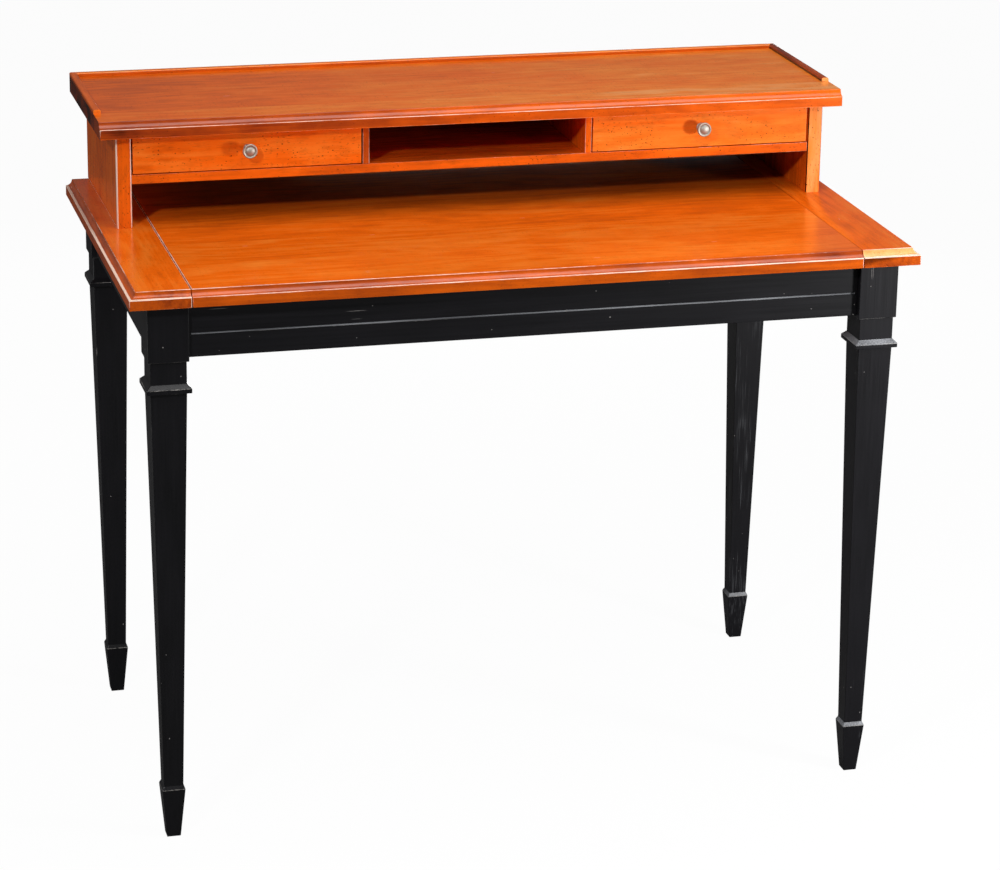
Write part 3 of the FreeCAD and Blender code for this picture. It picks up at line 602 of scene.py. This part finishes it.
@dataclass(frozen=True)
class Grain:
    """Lie of the wood in one board, and its tones: lighter above 0, darker below; besides the wood's own
    tone they carry painted light and shade.
    """

    # Axes along the fibres and across the face, and an offset that gives the board its own wood.
    along: Axis
    across: Axis
    shift_mm: float = 0.0
    tone: float = 0.0
    # Changes of tone on upright faces; painted shading on those that look to the front, on faces that
    # slope or curve upwards (painted shade on coves, painted highlights and reflections on others),
    # painted shade on those that look down, and painted shade where the front turns into the left side.
    edge_tone: float = 0.0
    painted_front_shading: float = 0.0
    painted_slope_shading: float = 0.0
    painted_shade_below: float = 0.0
    painted_corner_shade: float = 0.0
    # Painted light: growth of the tone for each metre to the right, lighter where more light falls from
    # the right.
    painted_light_lean: float = 0.0
    # Width of the glued-up staves, 0 for one piece, and place of one seam between them.
    stave_mm: float = 0.0
    seam_mm: float = 0.0
    # Strength of the worm holes and smudges.
    holes: float = 0.6
    # Height of an incised line, and change of tone in it.
    line_mm: float = 0.0
    line_tone: float = 0.0

    def write(self, mesh: Mesh) -> None:
        """Store the grain's place, stave and worm on vertices, and the tone, with its painted light and
        shade, on face corners.

        Args:
            mesh: Mesh with its place in the frame.
        """
        points = read(mesh.vertices, "co", 3) / MM
        depth = 3 - self.along.value - self.across.value
        order = [self.along.value, self.across.value, depth]
        store(mesh, "grain", points[:, order] + self.shift_mm * np.array(SHIFT_SHARES))
        # A board of one piece lies in the middle of a single stave.
        stave = np.full(len(points), 0.5)
        if self.stave_mm:
            stave = (points[:, self.across.value] - self.seam_mm) / self.stave_mm
        store(mesh, "stave", stave + round(self.shift_mm))
        lean = self.painted_light_lean * MM * points[corner_vertices(mesh), 0]
        store(mesh, "tone", to_corners(mesh, self._tones(mesh)) + lean, "CORNER")
        store(mesh, "holes", np.full(len(points), self.holes))

    def _tones(self, mesh: Mesh) -> np.ndarray:
        """Work out the tone of each face from the way it looks, with painted light and shade chosen by the
        face's direction.

        Args:
            mesh: Mesh with its place in the frame.

        Returns:
            One tone for each face.
        """
        x, y, z = read(mesh.polygons, "normal", 3).T
        middle = read(mesh.polygons, "center", 3)[:, 2] / MM
        small = read(mesh.polygons, "area") / MM**2 < LINE_AREA_MM2
        # Apart from upright faces and the incised line, these changes are painted light and shade.
        changes = (
            (self.edge_tone, np.abs(z) <= UPRIGHT),
            (self.painted_slope_shading, (z > UPRIGHT) & (z < LEVEL)),
            (self.painted_shade_below, z < DOWN),
            (self.painted_front_shading, y < AHEAD),
            (self.painted_corner_shade, (x < TURNED) & (y < TURNED)),
            (self.line_tone, (np.abs(middle - self.line_mm) < LINE_REACH_MM) & small),
        )
        return self.tone + sum(change * held for change, held in changes)


@dataclass(frozen=True)
class Arris:
    """Softened and rubbed edges of one piece."""

    # Radius of the softened edges, and length below which an edge stays sharp.
    radius_mm: float = 1.2
    shortest_mm: float = 9.0
    # Rubbing of level and of upright edges.
    level_wear: float = 0.3
    upright_wear: float = 0.5
    # Axis, place in mm and rubbing of edges in one plane; a later row wins, and below 0 they stay sharp.
    rows: tuple[tuple[Axis, float, float], ...] = ()
    # Growth of the rubbing for each metre to the right.
    lean: float = 0.0
    # Height of a ridge rubbed on both sides, reach of that rubbing, and the reach's growth for each metre.
    ridge_mm: float = -FAR_MM
    ridge_reach_mm: float = 1.0
    ridge_lean: float = 0.0
    # Edges whose middle lies outside these corners stay sharp.
    low_mm: Triple = (-FAR_MM, -FAR_MM, -FAR_MM)
    high_mm: Triple = (FAR_MM, FAR_MM, FAR_MM)
    # Faces across a softened edge, and turn below which an edge stays as it is.
    segments: int = 4
    sharpest: float = math.radians(35.0)

    def soften(self, source: Mesh, name: str) -> Mesh:
        """Copy a solid's mesh with its long sharp edges rolled over and their rubbing stored.

        Each chosen edge becomes a strip of quads on a quarter round of the radius.

        Args:
            source: Mesh of the solid.
            name: Name of the copy.

        Returns:
            The new mesh.
        """
        body = bmesh.new()
        body.from_mesh(source)
        bmesh.ops.remove_doubles(body, verts=body.verts, dist=WELD)
        bmesh.ops.dissolve_limit(body, angle_limit=FLAT, verts=body.verts, edges=body.edges)
        sharp = [edge for edge in body.edges if self._is_sharp(edge)]
        lines = np.array([[vert.co[:] for vert in edge.verts] for edge in sharp]).reshape(-1, 2, 3)
        kept = self._weights(lines) >= 0.0
        made = bmesh.ops.bevel(
            body, geom=[edge for edge, keep in zip(sharp, kept) if keep], offset=self.radius_mm * MM,
            offset_type="OFFSET", segments=self.segments, profile=0.5, affect="EDGES", clamp_overlap=True,
        )
        # The material number marks the strips until their rubbing is stored.
        for face in body.faces:
            face.smooth = True
            face.material_index = 0
        for face in made["faces"]:
            face.material_index = 1
        mesh = bpy.data.meshes.new(name)
        body.to_mesh(mesh)
        body.free()
        mesh.set_sharp_from_angle(angle=self.sharpest)
        store(mesh, "wear", self._wear(mesh, lines[kept]), "CORNER")
        store(mesh, "ridge", self._ridge(mesh), "CORNER")
        mesh.polygons.foreach_set("material_index", np.zeros(len(mesh.polygons), np.int32))
        return mesh

    def _is_sharp(self, edge: bmesh.types.BMEdge) -> bool:
        """Tell whether an edge is long and sharp enough, and lies where edges are softened.

        Args:
            edge: Edge of the solid.

        Returns:
            Whether it may be softened.
        """
        if len(edge.link_faces) != 2 or edge.calc_length() < self.shortest_mm * MM:
            return False
        middle = (edge.verts[0].co + edge.verts[1].co) / (2.0 * MM)
        inside = all(low <= place <= high for low, place, high in zip(self.low_mm, middle, self.high_mm))
        return inside and edge.is_convex and edge.calc_face_angle() > self.sharpest

    def _weights(self, lines: np.ndarray) -> np.ndarray:
        """Choose the rubbing of each edge, by its direction and then by the planes that it lies in.

        Args:
            lines: Both ends of each edge.

        Returns:
            One rubbing for each edge.
        """
        span = np.abs(lines[:, 1] - lines[:, 0])
        weight = np.where(span[:, 2] > span[:, :2].max(1), self.upright_wear, self.level_wear)
        for axis, place, rubbing in self.rows:
            off = np.abs(lines[:, :, axis.value] / MM - place)
            weight = np.where((off < ROW_REACH_MM).all(1), rubbing, weight)
        return weight

    def _wear(self, mesh: Mesh, lines: np.ndarray) -> np.ndarray:
        """Work out the rubbing: nearness to a former edge times that edge's weight, 0 off the strips.

        Args:
            mesh: Softened mesh, whose strips have material number 1.
            lines: Both ends of each former edge.

        Returns:
            The rubbing of each face corner.
        """
        strip = to_corners(mesh, read(mesh.polygons, "material_index")) > 0.5
        wear = np.zeros(len(strip))
        if not len(lines):
            return wear
        start, span = lines[:, 0], lines[:, 1] - lines[:, 0]
        length = np.linalg.norm(span, axis=1)
        points = read(mesh.vertices, "co", 3)
        gap = points[:, None, :] - start[None]
        share = np.clip((gap * span).sum(2) / (length**2)[None], 0.0, 1.0)
        distance = np.linalg.norm(gap - share[..., None] * span, axis=2)
        nearness = np.clip((1.0 - distance / (self.radius_mm * MM)) / CREST, 0.0, 1.0)
        worn = (nearness * (self._weights(lines)[None] + self.lean * points[:, :1])).max(1)
        wear[strip] = worn[corner_vertices(mesh)[strip]]
        return wear

    def _ridge(self, mesh: Mesh) -> np.ndarray:
        """Measure the height above the ridge as a share of the rubbing's reach.

        Args:
            mesh: Softened mesh.

        Returns:
            The share at each face corner, below 0 under the ridge.
        """
        points = read(mesh.vertices, "co", 3)
        reach = self.ridge_reach_mm * (1.0 + self.ridge_lean * points[:, 0])
        away = (points[:, 2] / MM - self.ridge_mm) / reach
        return away[corner_vertices(mesh)]


def shown(mesh: Mesh, finish: Material, node: str, body: str) -> Piece:
    """Put a mesh into the scene in place of a solid.

    Args:
        mesh: Finished mesh, with its place in the frame.
        finish: Material of the piece.
        node: Solid that the piece stands for.
        body: Body that carries the piece.

    Returns:
        The new object.
    """
    mesh.materials.clear()
    mesh.materials.append(finish)
    piece = bpy.data.objects.new(mesh.name, mesh)
    bpy.context.scene.collection.objects.link(piece)
    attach(piece, body)
    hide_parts(node)
    LOG.info("%s: %d vertices", node, len(mesh.vertices))
    return piece


@dataclass(frozen=True)
class Board:
    """One wooden piece shown with softened edges in place of its solid."""

    node: str
    grain: Grain
    arris: Arris
    slot: Slot = Slot.CHERRY
    body: str = "carcase"

    def build(self, finish: Material) -> Piece:
        """Make the piece and let it stand for its solid.

        Args:
            finish: Material of the piece.

        Returns:
            The new object.
        """
        mesh = self.arris.soften(frame["nodes"][self.node].data, self.node + "_visual")
        self.grain.write(mesh)
        piece = shown(mesh, finish, self.node, self.body)
        even = piece.modifiers.new("even_normals", "WEIGHTED_NORMAL")
        even.keep_sharp = True
        return piece


@dataclass(frozen=True)
class Knob:
    """Turned pewter knob: foot, waist, flare, raised ring and low dome."""

    side: str
    # Distance from the drawer, radius and brightness along the profile.
    profile_mm: tuple[Triple, ...] = (
        (0.0, 0.0, 0.3), (0.0, 6.1, 0.3), (0.4, 6.5, 0.5), (1.2, 6.5, 0.5),
        (1.6, 6.0, 0.3), (2.2, 4.8, 0.0), (4.0, 4.4, 0.1), (7.0, 4.5, 0.3),
        (9.0, 5.1, 0.3), (11.0, 6.5, 0.3), (12.8, 8.6, 0.3), (13.9, 9.75, 0.45),
        (14.6, 10.0, 0.6), (16.2, 10.0, 0.6), (17.2, 9.75, 0.7), (17.8, 9.25, 0.7),
        (17.9, 8.7, 0.6), (17.6, 8.1, 0.5), (17.2, 7.4, 0.1), (17.0, 6.9, -0.1),
        (17.05, 6.3, 0.0), (17.3, 5.6, 0.1), (18.0, 4.4, 0.4), (18.5, 2.9, 0.6),
        (18.75, 1.4, 0.6), (18.8, 0.0, 0.6),
    )
    # Least radius, so that the points of the first and last ring stay apart.
    core_mm: float = 0.02
    turns: int = 72

    def build(self, finish: Material) -> Piece:
        """Revolve the profile: X and Z are the radius times the turn's cosine and sine, Y the distance.

        Args:
            finish: Material of the knob.

        Returns:
            The new object.
        """
        node = f"knob_{self.side}"
        low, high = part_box(node)
        rows = np.array(self.profile_mm)
        angle = np.linspace(0.0, 2.0 * math.pi, self.turns, endpoint=False)
        radius = np.maximum(rows[:, 1, None], self.core_mm) * MM
        x = (low.x + high.x) / 2 + radius * np.cos(angle)
        z = (low.z + high.z) / 2 + radius * np.sin(angle)
        y = np.broadcast_to(high.y - rows[:, 0, None] * MM, x.shape)
        points = np.stack([x, y, z], axis=2).reshape(-1, 3)
        ring = np.arange(self.turns)
        after = (ring + 1) % self.turns
        start = (np.arange(len(rows) - 1) * self.turns)[:, None]
        beyond = start + self.turns
        quads = np.stack([start + ring, beyond + ring, beyond + after, start + after], axis=2)
        last = (len(rows) - 1) * self.turns
        faces = quads.reshape(-1, 4).tolist() + [ring.tolist(), (last + ring[::-1]).tolist()]
        mesh = bpy.data.meshes.new(node + "_visual")
        mesh.from_pydata(points.tolist(), [], faces)
        mesh.polygons.foreach_set("use_smooth", np.ones(len(faces), bool))
        store(mesh, "wear", np.repeat(rows[:, 2], self.turns))
        return shown(mesh, finish, node, f"drawer_{self.side}")


@dataclass
class Table:
    """Legs, aprons and the three boards of the top."""

    cherry: Material
    black: Material
    # Heights of the top's face, of the ridge under its cove and of its underside.
    top_mm: float = 766.0
    ridge_mm: float = 757.2
    base_mm: float = 743.5
    # Distance from the middle to the joints between the boards, and place of the front edge.
    joint_mm: float = 449.9
    front_mm: float = -296.0
    # Height and half the width of the incised line on the aprons.
    line_mm: float = 702.0
    line_half_mm: float = 1.1
    # Heights in mm at which a leg's section changes, with the rubbing of the edges there.
    turns: tuple[tuple[float, float], ...] = ((667.5, 0.75), (632.0, 0.7), (626.0, 0.5), (70.0, 0.7))
    # End, side, tone and tone of the ledges of each leg; the ledges' tone is a painted reflection of the
    # lamps on the bevels.
    legs: tuple[tuple[str, str, float, float], ...] = (
        ("front", "left", -0.04, 0.07),
        ("front", "right", 0.1, 0.24),
        ("back", "left", 0.01, -0.03),
        ("back", "right", 0.15, 0.14),
    )
    # Offsets between the wood of one leg or apron and the next.
    leg_shift_mm: float = 130.0
    apron_shift_mm: float = 90.0
    pieces: list[Piece] = field(default_factory=list)

    def build(self) -> None:
        """Make every board of the table."""
        self.pieces += [board.build(self.cherry) for board in self._top()]
        self.pieces += [board.build(self.black) for board in self._legs() + self._aprons()]

    def _top(self) -> list[Board]:
        """Describe the writing slide and the end boards.

        Returns:
            The three boards.
        """
        top, ridge, joint = self.top_mm, self.ridge_mm, self.joint_mm
        slide_rows = (
            (Axis.Z, top, 0.36), (Axis.X, -joint, 1.1), (Axis.X, joint, -1.0),
            (Axis.Y, self.front_mm, 0.8), (Axis.Z, ridge, 0.8), (Axis.Z, self.base_mm, 0.3),
        )
        slide_rim = Arris(
            upright_wear=0.8, rows=slide_rows, lean=0.4, ridge_mm=ridge, ridge_reach_mm=0.5, ridge_lean=1.4
        )
        left_rows = ((Axis.Z, top, 0.58), (Axis.Z, ridge, 1.2), (Axis.X, -joint, 0.98))
        left_rim = Arris(upright_wear=0.35, rows=left_rows, ridge_mm=ridge, ridge_reach_mm=1.2)
        # The right board's top edge is rubbed pale, partly wear and partly a painted highlight.
        right_rows = ((Axis.Z, top, 1.2), (Axis.Z, ridge, 1.0), (Axis.X, joint, -1.0))
        right_rim = Arris(1.4, upright_wear=0.6, rows=right_rows, ridge_mm=ridge, ridge_reach_mm=1.5)
        # The coves of the slide and the left board are toned darker, painted shade; the right board's cove
        # is toned pale, a painted highlight.
        slide = Grain(
            Axis.X, Axis.Y, 568.0, tone=-0.01, edge_tone=-0.16, painted_slope_shading=-0.28,
            stave_mm=97.0, seam_mm=20.0, holes=0.3,
        )
        left = Grain(Axis.Y, Axis.X, 310.0, edge_tone=-0.28, painted_slope_shading=-0.3, holes=0.5)
        right = Grain(Axis.Y, Axis.X, 740.0, edge_tone=-0.24, painted_slope_shading=0.5, holes=0.5)
        return [
            Board("writing_slide", slide, slide_rim, body="slide"),
            Board("end_board_left", left, left_rim),
            Board("end_board_right", right, right_rim),
        ]

    def _legs(self) -> list[Board]:
        """Describe the legs.

        Returns:
            The four legs.
        """
        rows = tuple((Axis.Z, height, rubbing) for height, rubbing in self.turns)
        edge = Arris(0.9, 4.0, upright_wear=0.42, rows=rows, sharpest=math.radians(18.0))
        legs = []
        for number, (end, side, tone, ledge_reflection) in enumerate(self.legs, 1):
            grain = Grain(Axis.Z, Axis.X, self.leg_shift_mm * number, tone, painted_slope_shading=ledge_reflection)
            legs.append(Board(f"leg_{end}_{side}", grain, edge, Slot.BLACK))
        return legs

    def _aprons(self) -> list[Board]:
        """Describe the aprons.

        Returns:
            The four aprons.
        """
        low, high = self.line_mm - self.line_half_mm, self.line_mm + self.line_half_mm
        rail = Arris(0.9, rows=((Axis.Z, low, 0.55), (Axis.Z, high, 0.3)))
        aprons = []
        for number, side in enumerate(("front", "back", "left", "right"), 1):
            along = Axis.X if side in ("front", "back") else Axis.Y
            shift = self.apron_shift_mm * number
            grain = Grain(along, Axis.Z, shift, line_mm=self.line_mm, line_tone=0.38)
            aprons.append(Board(f"apron_{side}", grain, rail, Slot.BLACK))
        return aprons


@dataclass
class Hutch:
    """Side panels, shelf, dividers, back, top, gallery and the two drawers."""

    cherry: Material
    pewter: Material
    # Heights of the top's face and of the ridge under its cove.
    crown_mm: float = 915.0
    ridge_mm: float = 906.2
    # Place of the gallery's front end, and height above the top up to which its edges stay sharp.
    rail_front_mm: float = 59.0
    rail_foot_mm: float = 1.0
    # Distances from the middle to a side panel's outer and inner face, and height of its foot.
    panel_mm: tuple[float, float] = (498.5, 477.5)
    foot_mm: float = 766.0
    pieces: list[Piece] = field(default_factory=list)

    def build(self) -> None:
        """Make the hutch's boards, its drawer fronts and its knobs."""
        boards = self._case() + self._inside() + self._gallery() + self._drawers()
        self.pieces += [board.build(self.cherry) for board in boards]
        self.pieces += [Knob(side).build(self.pewter) for side in ("left", "right")]

    def _case(self) -> list[Board]:
        """Describe the top, whose edges stay sharp under the gallery, and the side panels.

        Returns:
            The top, the left and the right panel.
        """
        rim = Arris(
            1.1, level_wear=0.25, upright_wear=0.6, high_mm=(FAR_MM, self.rail_front_mm, FAR_MM),
            rows=((Axis.Z, self.crown_mm, 0.38), (Axis.Z, self.ridge_mm, 0.86)),
        )
        # The top's coves and underside are toned darker, painted shade, and it grows lighter towards the
        # right, painted light from the right.
        grain = Grain(
            Axis.X, Axis.Y, 370.0, tone=0.09, edge_tone=-0.41, painted_slope_shading=-0.4, painted_shade_below=-0.3,
            painted_light_lean=0.28, stave_mm=118.0, seam_mm=self.rail_front_mm,
        )
        outer, inner = self.panel_mm
        foot = (Axis.Z, self.foot_mm, 0.0)
        # The left panel's front edges are rubbed pale, partly wear and partly a painted highlight of the
        # light from the left.
        left_rows = ((Axis.X, -outer, 2.0), (Axis.X, -inner, 1.1), foot)
        right_rows = ((Axis.X, outer, 0.6), (Axis.X, inner, 0.0), foot)
        # The left panel's front is toned darker, painted shade under the top; the right panel's front is
        # toned lighter, painted light from the right, with painted shade where it turns inwards.
        left = Grain(Axis.Z, Axis.Y, 420.0, tone=-0.04, painted_front_shading=-0.1, holes=1.0)
        right = Grain(Axis.Z, Axis.Y, 530.0, tone=-0.08, painted_front_shading=0.34, painted_corner_shade=-0.7, holes=1.0)
        return [
            Board("hutch_top", grain, rim),
            Board("hutch_side_left", left, Arris(2.6, 45.0, upright_wear=1.0, rows=left_rows)),
            Board("hutch_side_right", right, Arris(2.4, 45.0, upright_wear=1.0, rows=right_rows)),
        ]

    def _inside(self) -> list[Board]:
        """Describe the shelf, the dividers and the back panel.

        Returns:
            The four boards.
        """
        edge = Arris(0.9, 5.0, level_wear=0.42, upright_wear=0.8)
        # Inside the hutch the shelf, the left divider and the back panel are toned darker, painted shade,
        # the shelf's underside and the back panel's face in the niche darkest; the right divider is toned
        # lighter, painted light from the left on its inner face.
        shelf = Grain(Axis.X, Axis.Y, 640.0, tone=-0.2, painted_shade_below=-0.4, painted_front_shading=0.08, holes=1.0)
        left = Grain(Axis.Z, Axis.Y, 210.0, tone=-0.46, painted_front_shading=0.18, holes=1.0)
        right = Grain(Axis.Z, Axis.Y, 260.0, tone=0.06, painted_front_shading=-0.06, holes=1.0)
        back = Grain(Axis.X, Axis.Z, 880.0, tone=-0.1, painted_front_shading=-0.7)
        return [
            Board("shelf", shelf, Arris(0.8, 5.0, level_wear=0.45, lean=0.45)),
            Board("divider_left", left, edge),
            Board("divider_right", right, edge),
            Board("back_panel", back, Arris(0.4, upright_wear=0.3)),
        ]

    def _gallery(self) -> list[Board]:
        """Describe the rails on the hutch top.

        Returns:
            The left, back and right rail.
        """
        low = (-FAR_MM, -FAR_MM, self.crown_mm + self.rail_foot_mm)
        edge = Arris(1.6, 4.0, level_wear=0.35, upright_wear=0.9, low_mm=low)
        # The rails carry painted shading: pale front ends as painted highlights, the back rail lighter on
        # top and darker at its front, and the right rail darker, painted shade on its inner face.
        left = Grain(Axis.Y, Axis.X, 33.0, tone=0.04, edge_tone=-0.14, painted_front_shading=0.35)
        back = Grain(Axis.X, Axis.Y, 71.0, tone=0.26, painted_front_shading=-0.35)
        right = Grain(Axis.Y, Axis.X, 97.0, tone=-0.3, edge_tone=-0.16, painted_front_shading=0.9)
        rails = {"gallery_left": left, "gallery_back": back, "gallery_right": right}
        return [Board(node, grain, edge) for node, grain in rails.items()]

    def _drawers(self) -> list[Board]:
        """Describe the drawer fronts.

        Returns:
            The left and the right front.
        """
        edge = Arris(0.8, 5.0, level_wear=0.42)
        # The right front is toned lighter than the left, painted light from the right.
        left = Grain(Axis.X, Axis.Z, 1010.0, tone=0.04, holes=1.0)
        right = Grain(Axis.X, Axis.Z, 1170.0, tone=0.24, holes=1.0)
        return [
            Board("drawer_left_front", left, edge, body="drawer_left"),
            Board("drawer_right_front", right, edge, body="drawer_right"),
        ]


@dataclass(frozen=True)
class PlainPieces:
    """Solids that are shown as they are, with a material for each slot."""

    finishes: dict[Slot, Material]

    def dress(self) -> None:
        """Give every solid that is still shown the finish of its slot."""
        slots = {row["node"]: row["material_slot"] for row in frame["record"]["subparts"]}
        for node, item in frame["nodes"].items():
            if item.hide_render:
                continue
            item.data.materials.clear()
            item.data.materials.append(self.finishes[Slot(slots[node])])
            LOG.info("%s: %s", node, slots[node])


@dataclass(frozen=True)
class Lamp:
    """Square soft box aimed at a point; lengths are in metres and the power in watts."""

    name: str
    place: Triple
    aim: Triple
    size: float
    power: float

    def build(self) -> None:
        """Add the lamp to the scene."""
        light = bpy.data.lights.new(self.name, "AREA")
        light.shape = "SQUARE"
        light.size = self.size
        light.energy = self.power
        item = bpy.data.objects.new(self.name, light)
        item.location = self.place
        item.visible_camera = False
        item.rotation_euler = (Vector(self.aim) - Vector(self.place)).to_track_quat("-Z", "Y").to_euler()
        bpy.context.scene.collection.objects.link(item)


@dataclass(frozen=True)
class Camera:
    """Camera at the photograph's viewing angle."""

    # The view is turned to the right of +Y, above the horizon and about its own axis, in radians.
    place_mm: Triple = (-1118.09, -4299.89, 1950.94)
    yaw: float = 0.2612286
    pitch: float = -0.3089411
    roll: float = 0.0155919
    focal_px: float = 3346.868
    # Pixel on the optical axis, and farthest distance seen in metres.
    centre_px: tuple[float, float] = (500.0, 375.0)
    clip_end: float = 100.0

    def build(self) -> None:
        """Add the camera and make it the scene's own."""
        flat = math.cos(self.pitch)
        ahead = Vector((math.sin(self.yaw) * flat, math.cos(self.yaw) * flat, math.sin(self.pitch)))
        level = Vector((math.cos(self.yaw), -math.sin(self.yaw), 0.0))
        rise = level.cross(ahead)
        right = math.cos(self.roll) * level + math.sin(self.roll) * rise
        up = -math.sin(self.roll) * level + math.cos(self.roll) * rise
        data = bpy.data.cameras.new("camera")
        data.sensor_fit = "HORIZONTAL"
        data.sensor_width = SENSOR_MM
        data.lens = SENSOR_MM * self.focal_px / FRAME_WIDTH_PX
        data.shift_x = (FRAME_WIDTH_PX / 2 - self.centre_px[0]) / FRAME_WIDTH_PX
        data.shift_y = (self.centre_px[1] - FRAME_HEIGHT_PX / 2) / FRAME_WIDTH_PX
        data.clip_end = self.clip_end
        item = bpy.data.objects.new("camera", data)
        turn = Matrix((right, up, -ahead)).transposed().to_4x4()
        item.matrix_world = Matrix.Translation(Vector(self.place_mm) * MM) @ turn
        bpy.context.scene.collection.objects.link(item)
        bpy.context.scene.camera = item


@dataclass(frozen=True)
class Studio:
    """White room with a pale floor, a broad soft box above, two small ones in front and two low ones."""

    # Light from the room, and its brightness in reflections.
    fill: float = 0.02
    mirrored: float = 0.12
    # Half the floor's side in metres, and the share of plain white in the floor as seen and as mirrored.
    floor_half: float = 9.0
    floor_glow: float = 0.97
    floor_mirrored: float = 0.02
    # Colour of the floor to the camera and as a source of light.
    floor_seen: str = "#F4F4F4"
    floor_unseen: str = "#5E5E5E"
    # The last two are low and light the sides that the photograph doesn't show.
    lamps: tuple[Lamp, ...] = (
        Lamp("soft_box_above", (0.32, -0.63, 2.35), (0.32, -0.62, 0.8), 1.65, 32.5),
        Lamp("soft_box_left", (-1.65, -2.0, 2.2), (0.0, 0.0, 0.8), 0.2, 32.0),
        Lamp("soft_box_right", (1.35, -1.1, 0.81), (0.0, 0.0, 0.8), 0.2, 20.0),
        Lamp("soft_box_side", (-2.6, 0.3, 0.65), (-0.5, 0.1, 0.75), 1.0, 12.0),
        Lamp("soft_box_back", (0.8, 2.6, 0.45), (0.1, 0.3, 0.6), 1.0, 24.0),
    )

    def build(self) -> None:
        """Add the lamps, the floor and the room."""
        for lamp in self.lamps:
            lamp.build()
        self._floor()
        self._room()

    def _floor(self) -> None:
        """Add a pale floor that keeps a soft shadow: white to the camera, greyer as a source of light."""
        half = self.floor_half
        corners = [(-half, -half, 0.0), (half, -half, 0.0), (half, half, 0.0), (-half, half, 0.0)]
        mesh = bpy.data.meshes.new("floor")
        mesh.from_pydata(corners, [], [(0, 1, 2, 3)])
        g = Graph(bpy.data.materials.new("pale_floor"))
        camera = g.add("LightPath", out="Is Camera Ray")
        through, glossy = (camera.node.outputs[f"Is {kind} Ray"] for kind in ("Transmission", "Glossy"))
        seen = g.add("Math", (camera, through), operation="MAXIMUM")
        share = g.add("Math", (seen, self.floor_glow), operation="MULTIPLY")
        glint = g.add("Math", (glossy, self.floor_mirrored), operation="MULTIPLY")
        share = g.add("Math", (share, glint), operation="MAXIMUM")
        shades = {SHARE: seen, BELOW: linear(self.floor_unseen), ABOVE: linear(self.floor_seen)}
        matt = g.add("BsdfDiffuse", {"Color": g.add("Mix", shades, out=MIXED, data_type="RGBA")})
        glow = g.add("Emission", {"Color": linear(WHITE), "Strength": 1.0})
        g.add("OutputMaterial", {"Surface": g.add("MixShader", (share, matt, glow))})
        mesh.materials.append(g.owner)
        item = bpy.data.objects.new("floor", mesh)
        bpy.context.scene.collection.objects.link(item)
        item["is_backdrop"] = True

    def _room(self) -> None:
        """Add white surroundings: full white to the camera, dimmer in reflections and as fill."""
        world = bpy.data.worlds.new("room")
        g = Graph(world)
        camera = g.add("LightPath", out="Is Camera Ray")
        through, glossy = (camera.node.outputs[f"Is {kind} Ray"] for kind in ("Transmission", "Glossy"))
        dim = g.add("Math", (glossy, self.mirrored - self.fill, self.fill), operation="MULTIPLY_ADD")
        seen = g.add("Math", (camera, through), operation="MAXIMUM")
        strength = g.add("Math", (seen, dim), operation="MAXIMUM")
        glow = g.add("Background", {"Color": linear(WHITE), "Strength": strength})
        g.add("OutputWorld", {"Surface": glow})
        bpy.context.scene.world = world


class Desk:
    """The whole bonheur du jour in its studio."""

    def __init__(self) -> None:
        """Measure the solids and build the finishes."""
        self.solid_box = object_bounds()
        finishes = {
            Slot.CHERRY: CherryLacquer(),
            Slot.BLACK: BlackPaint(),
            Slot.PEWTER: AgedMetal("aged_pewter", "#B4AFA6", "#7E786F", 0.44),
            Slot.STEEL: AgedMetal("plain_steel", "#B9B9B9", "#777777", 0.28),
            Slot.BEECH: BareWood(
                "bare_beech", ((0.25, "#B98C5C"), (0.75, "#D9B588")),
                Cloud((5.0, 90.0, 5.0), 4.0, 0.6, weight=0.7),
                Flecks((0.8, 14.4), 0.15, 0.4, strength=0.3),
            ),
            Slot.PLY: BareWood(
                "birch_plywood", ((0.25, "#C09A68"), (0.75, "#E0C090")),
                Cloud((140.0, 6.0, 6.0), 4.0, 0.6, weight=0.7),
                Flecks((22.4, 0.96), 0.15, 0.4, strength=0.3),
            ),
        }
        materials = {slot: finish.material() for slot, finish in finishes.items()}
        self.table = Table(materials[Slot.CHERRY], materials[Slot.BLACK])
        self.hutch = Hutch(materials[Slot.CHERRY], materials[Slot.PEWTER])
        self.plain = PlainPieces(materials)

    def build(self) -> None:
        """Make every piece, the studio and the camera."""
        self.table.build()
        self.hutch.build()
        self.plain.dress()
        Studio().build()
        Camera().build()
        bpy.context.scene.view_settings.view_transform = "Standard"
        LOG.info("built %d pieces", len(self.table.pieces) + len(self.hutch.pieces))


def main() -> None:
    """Build the scene."""
    logging.basicConfig(level=logging.INFO)
    desk = Desk()
    desk.build()


if __name__ == "__main__":
    main()
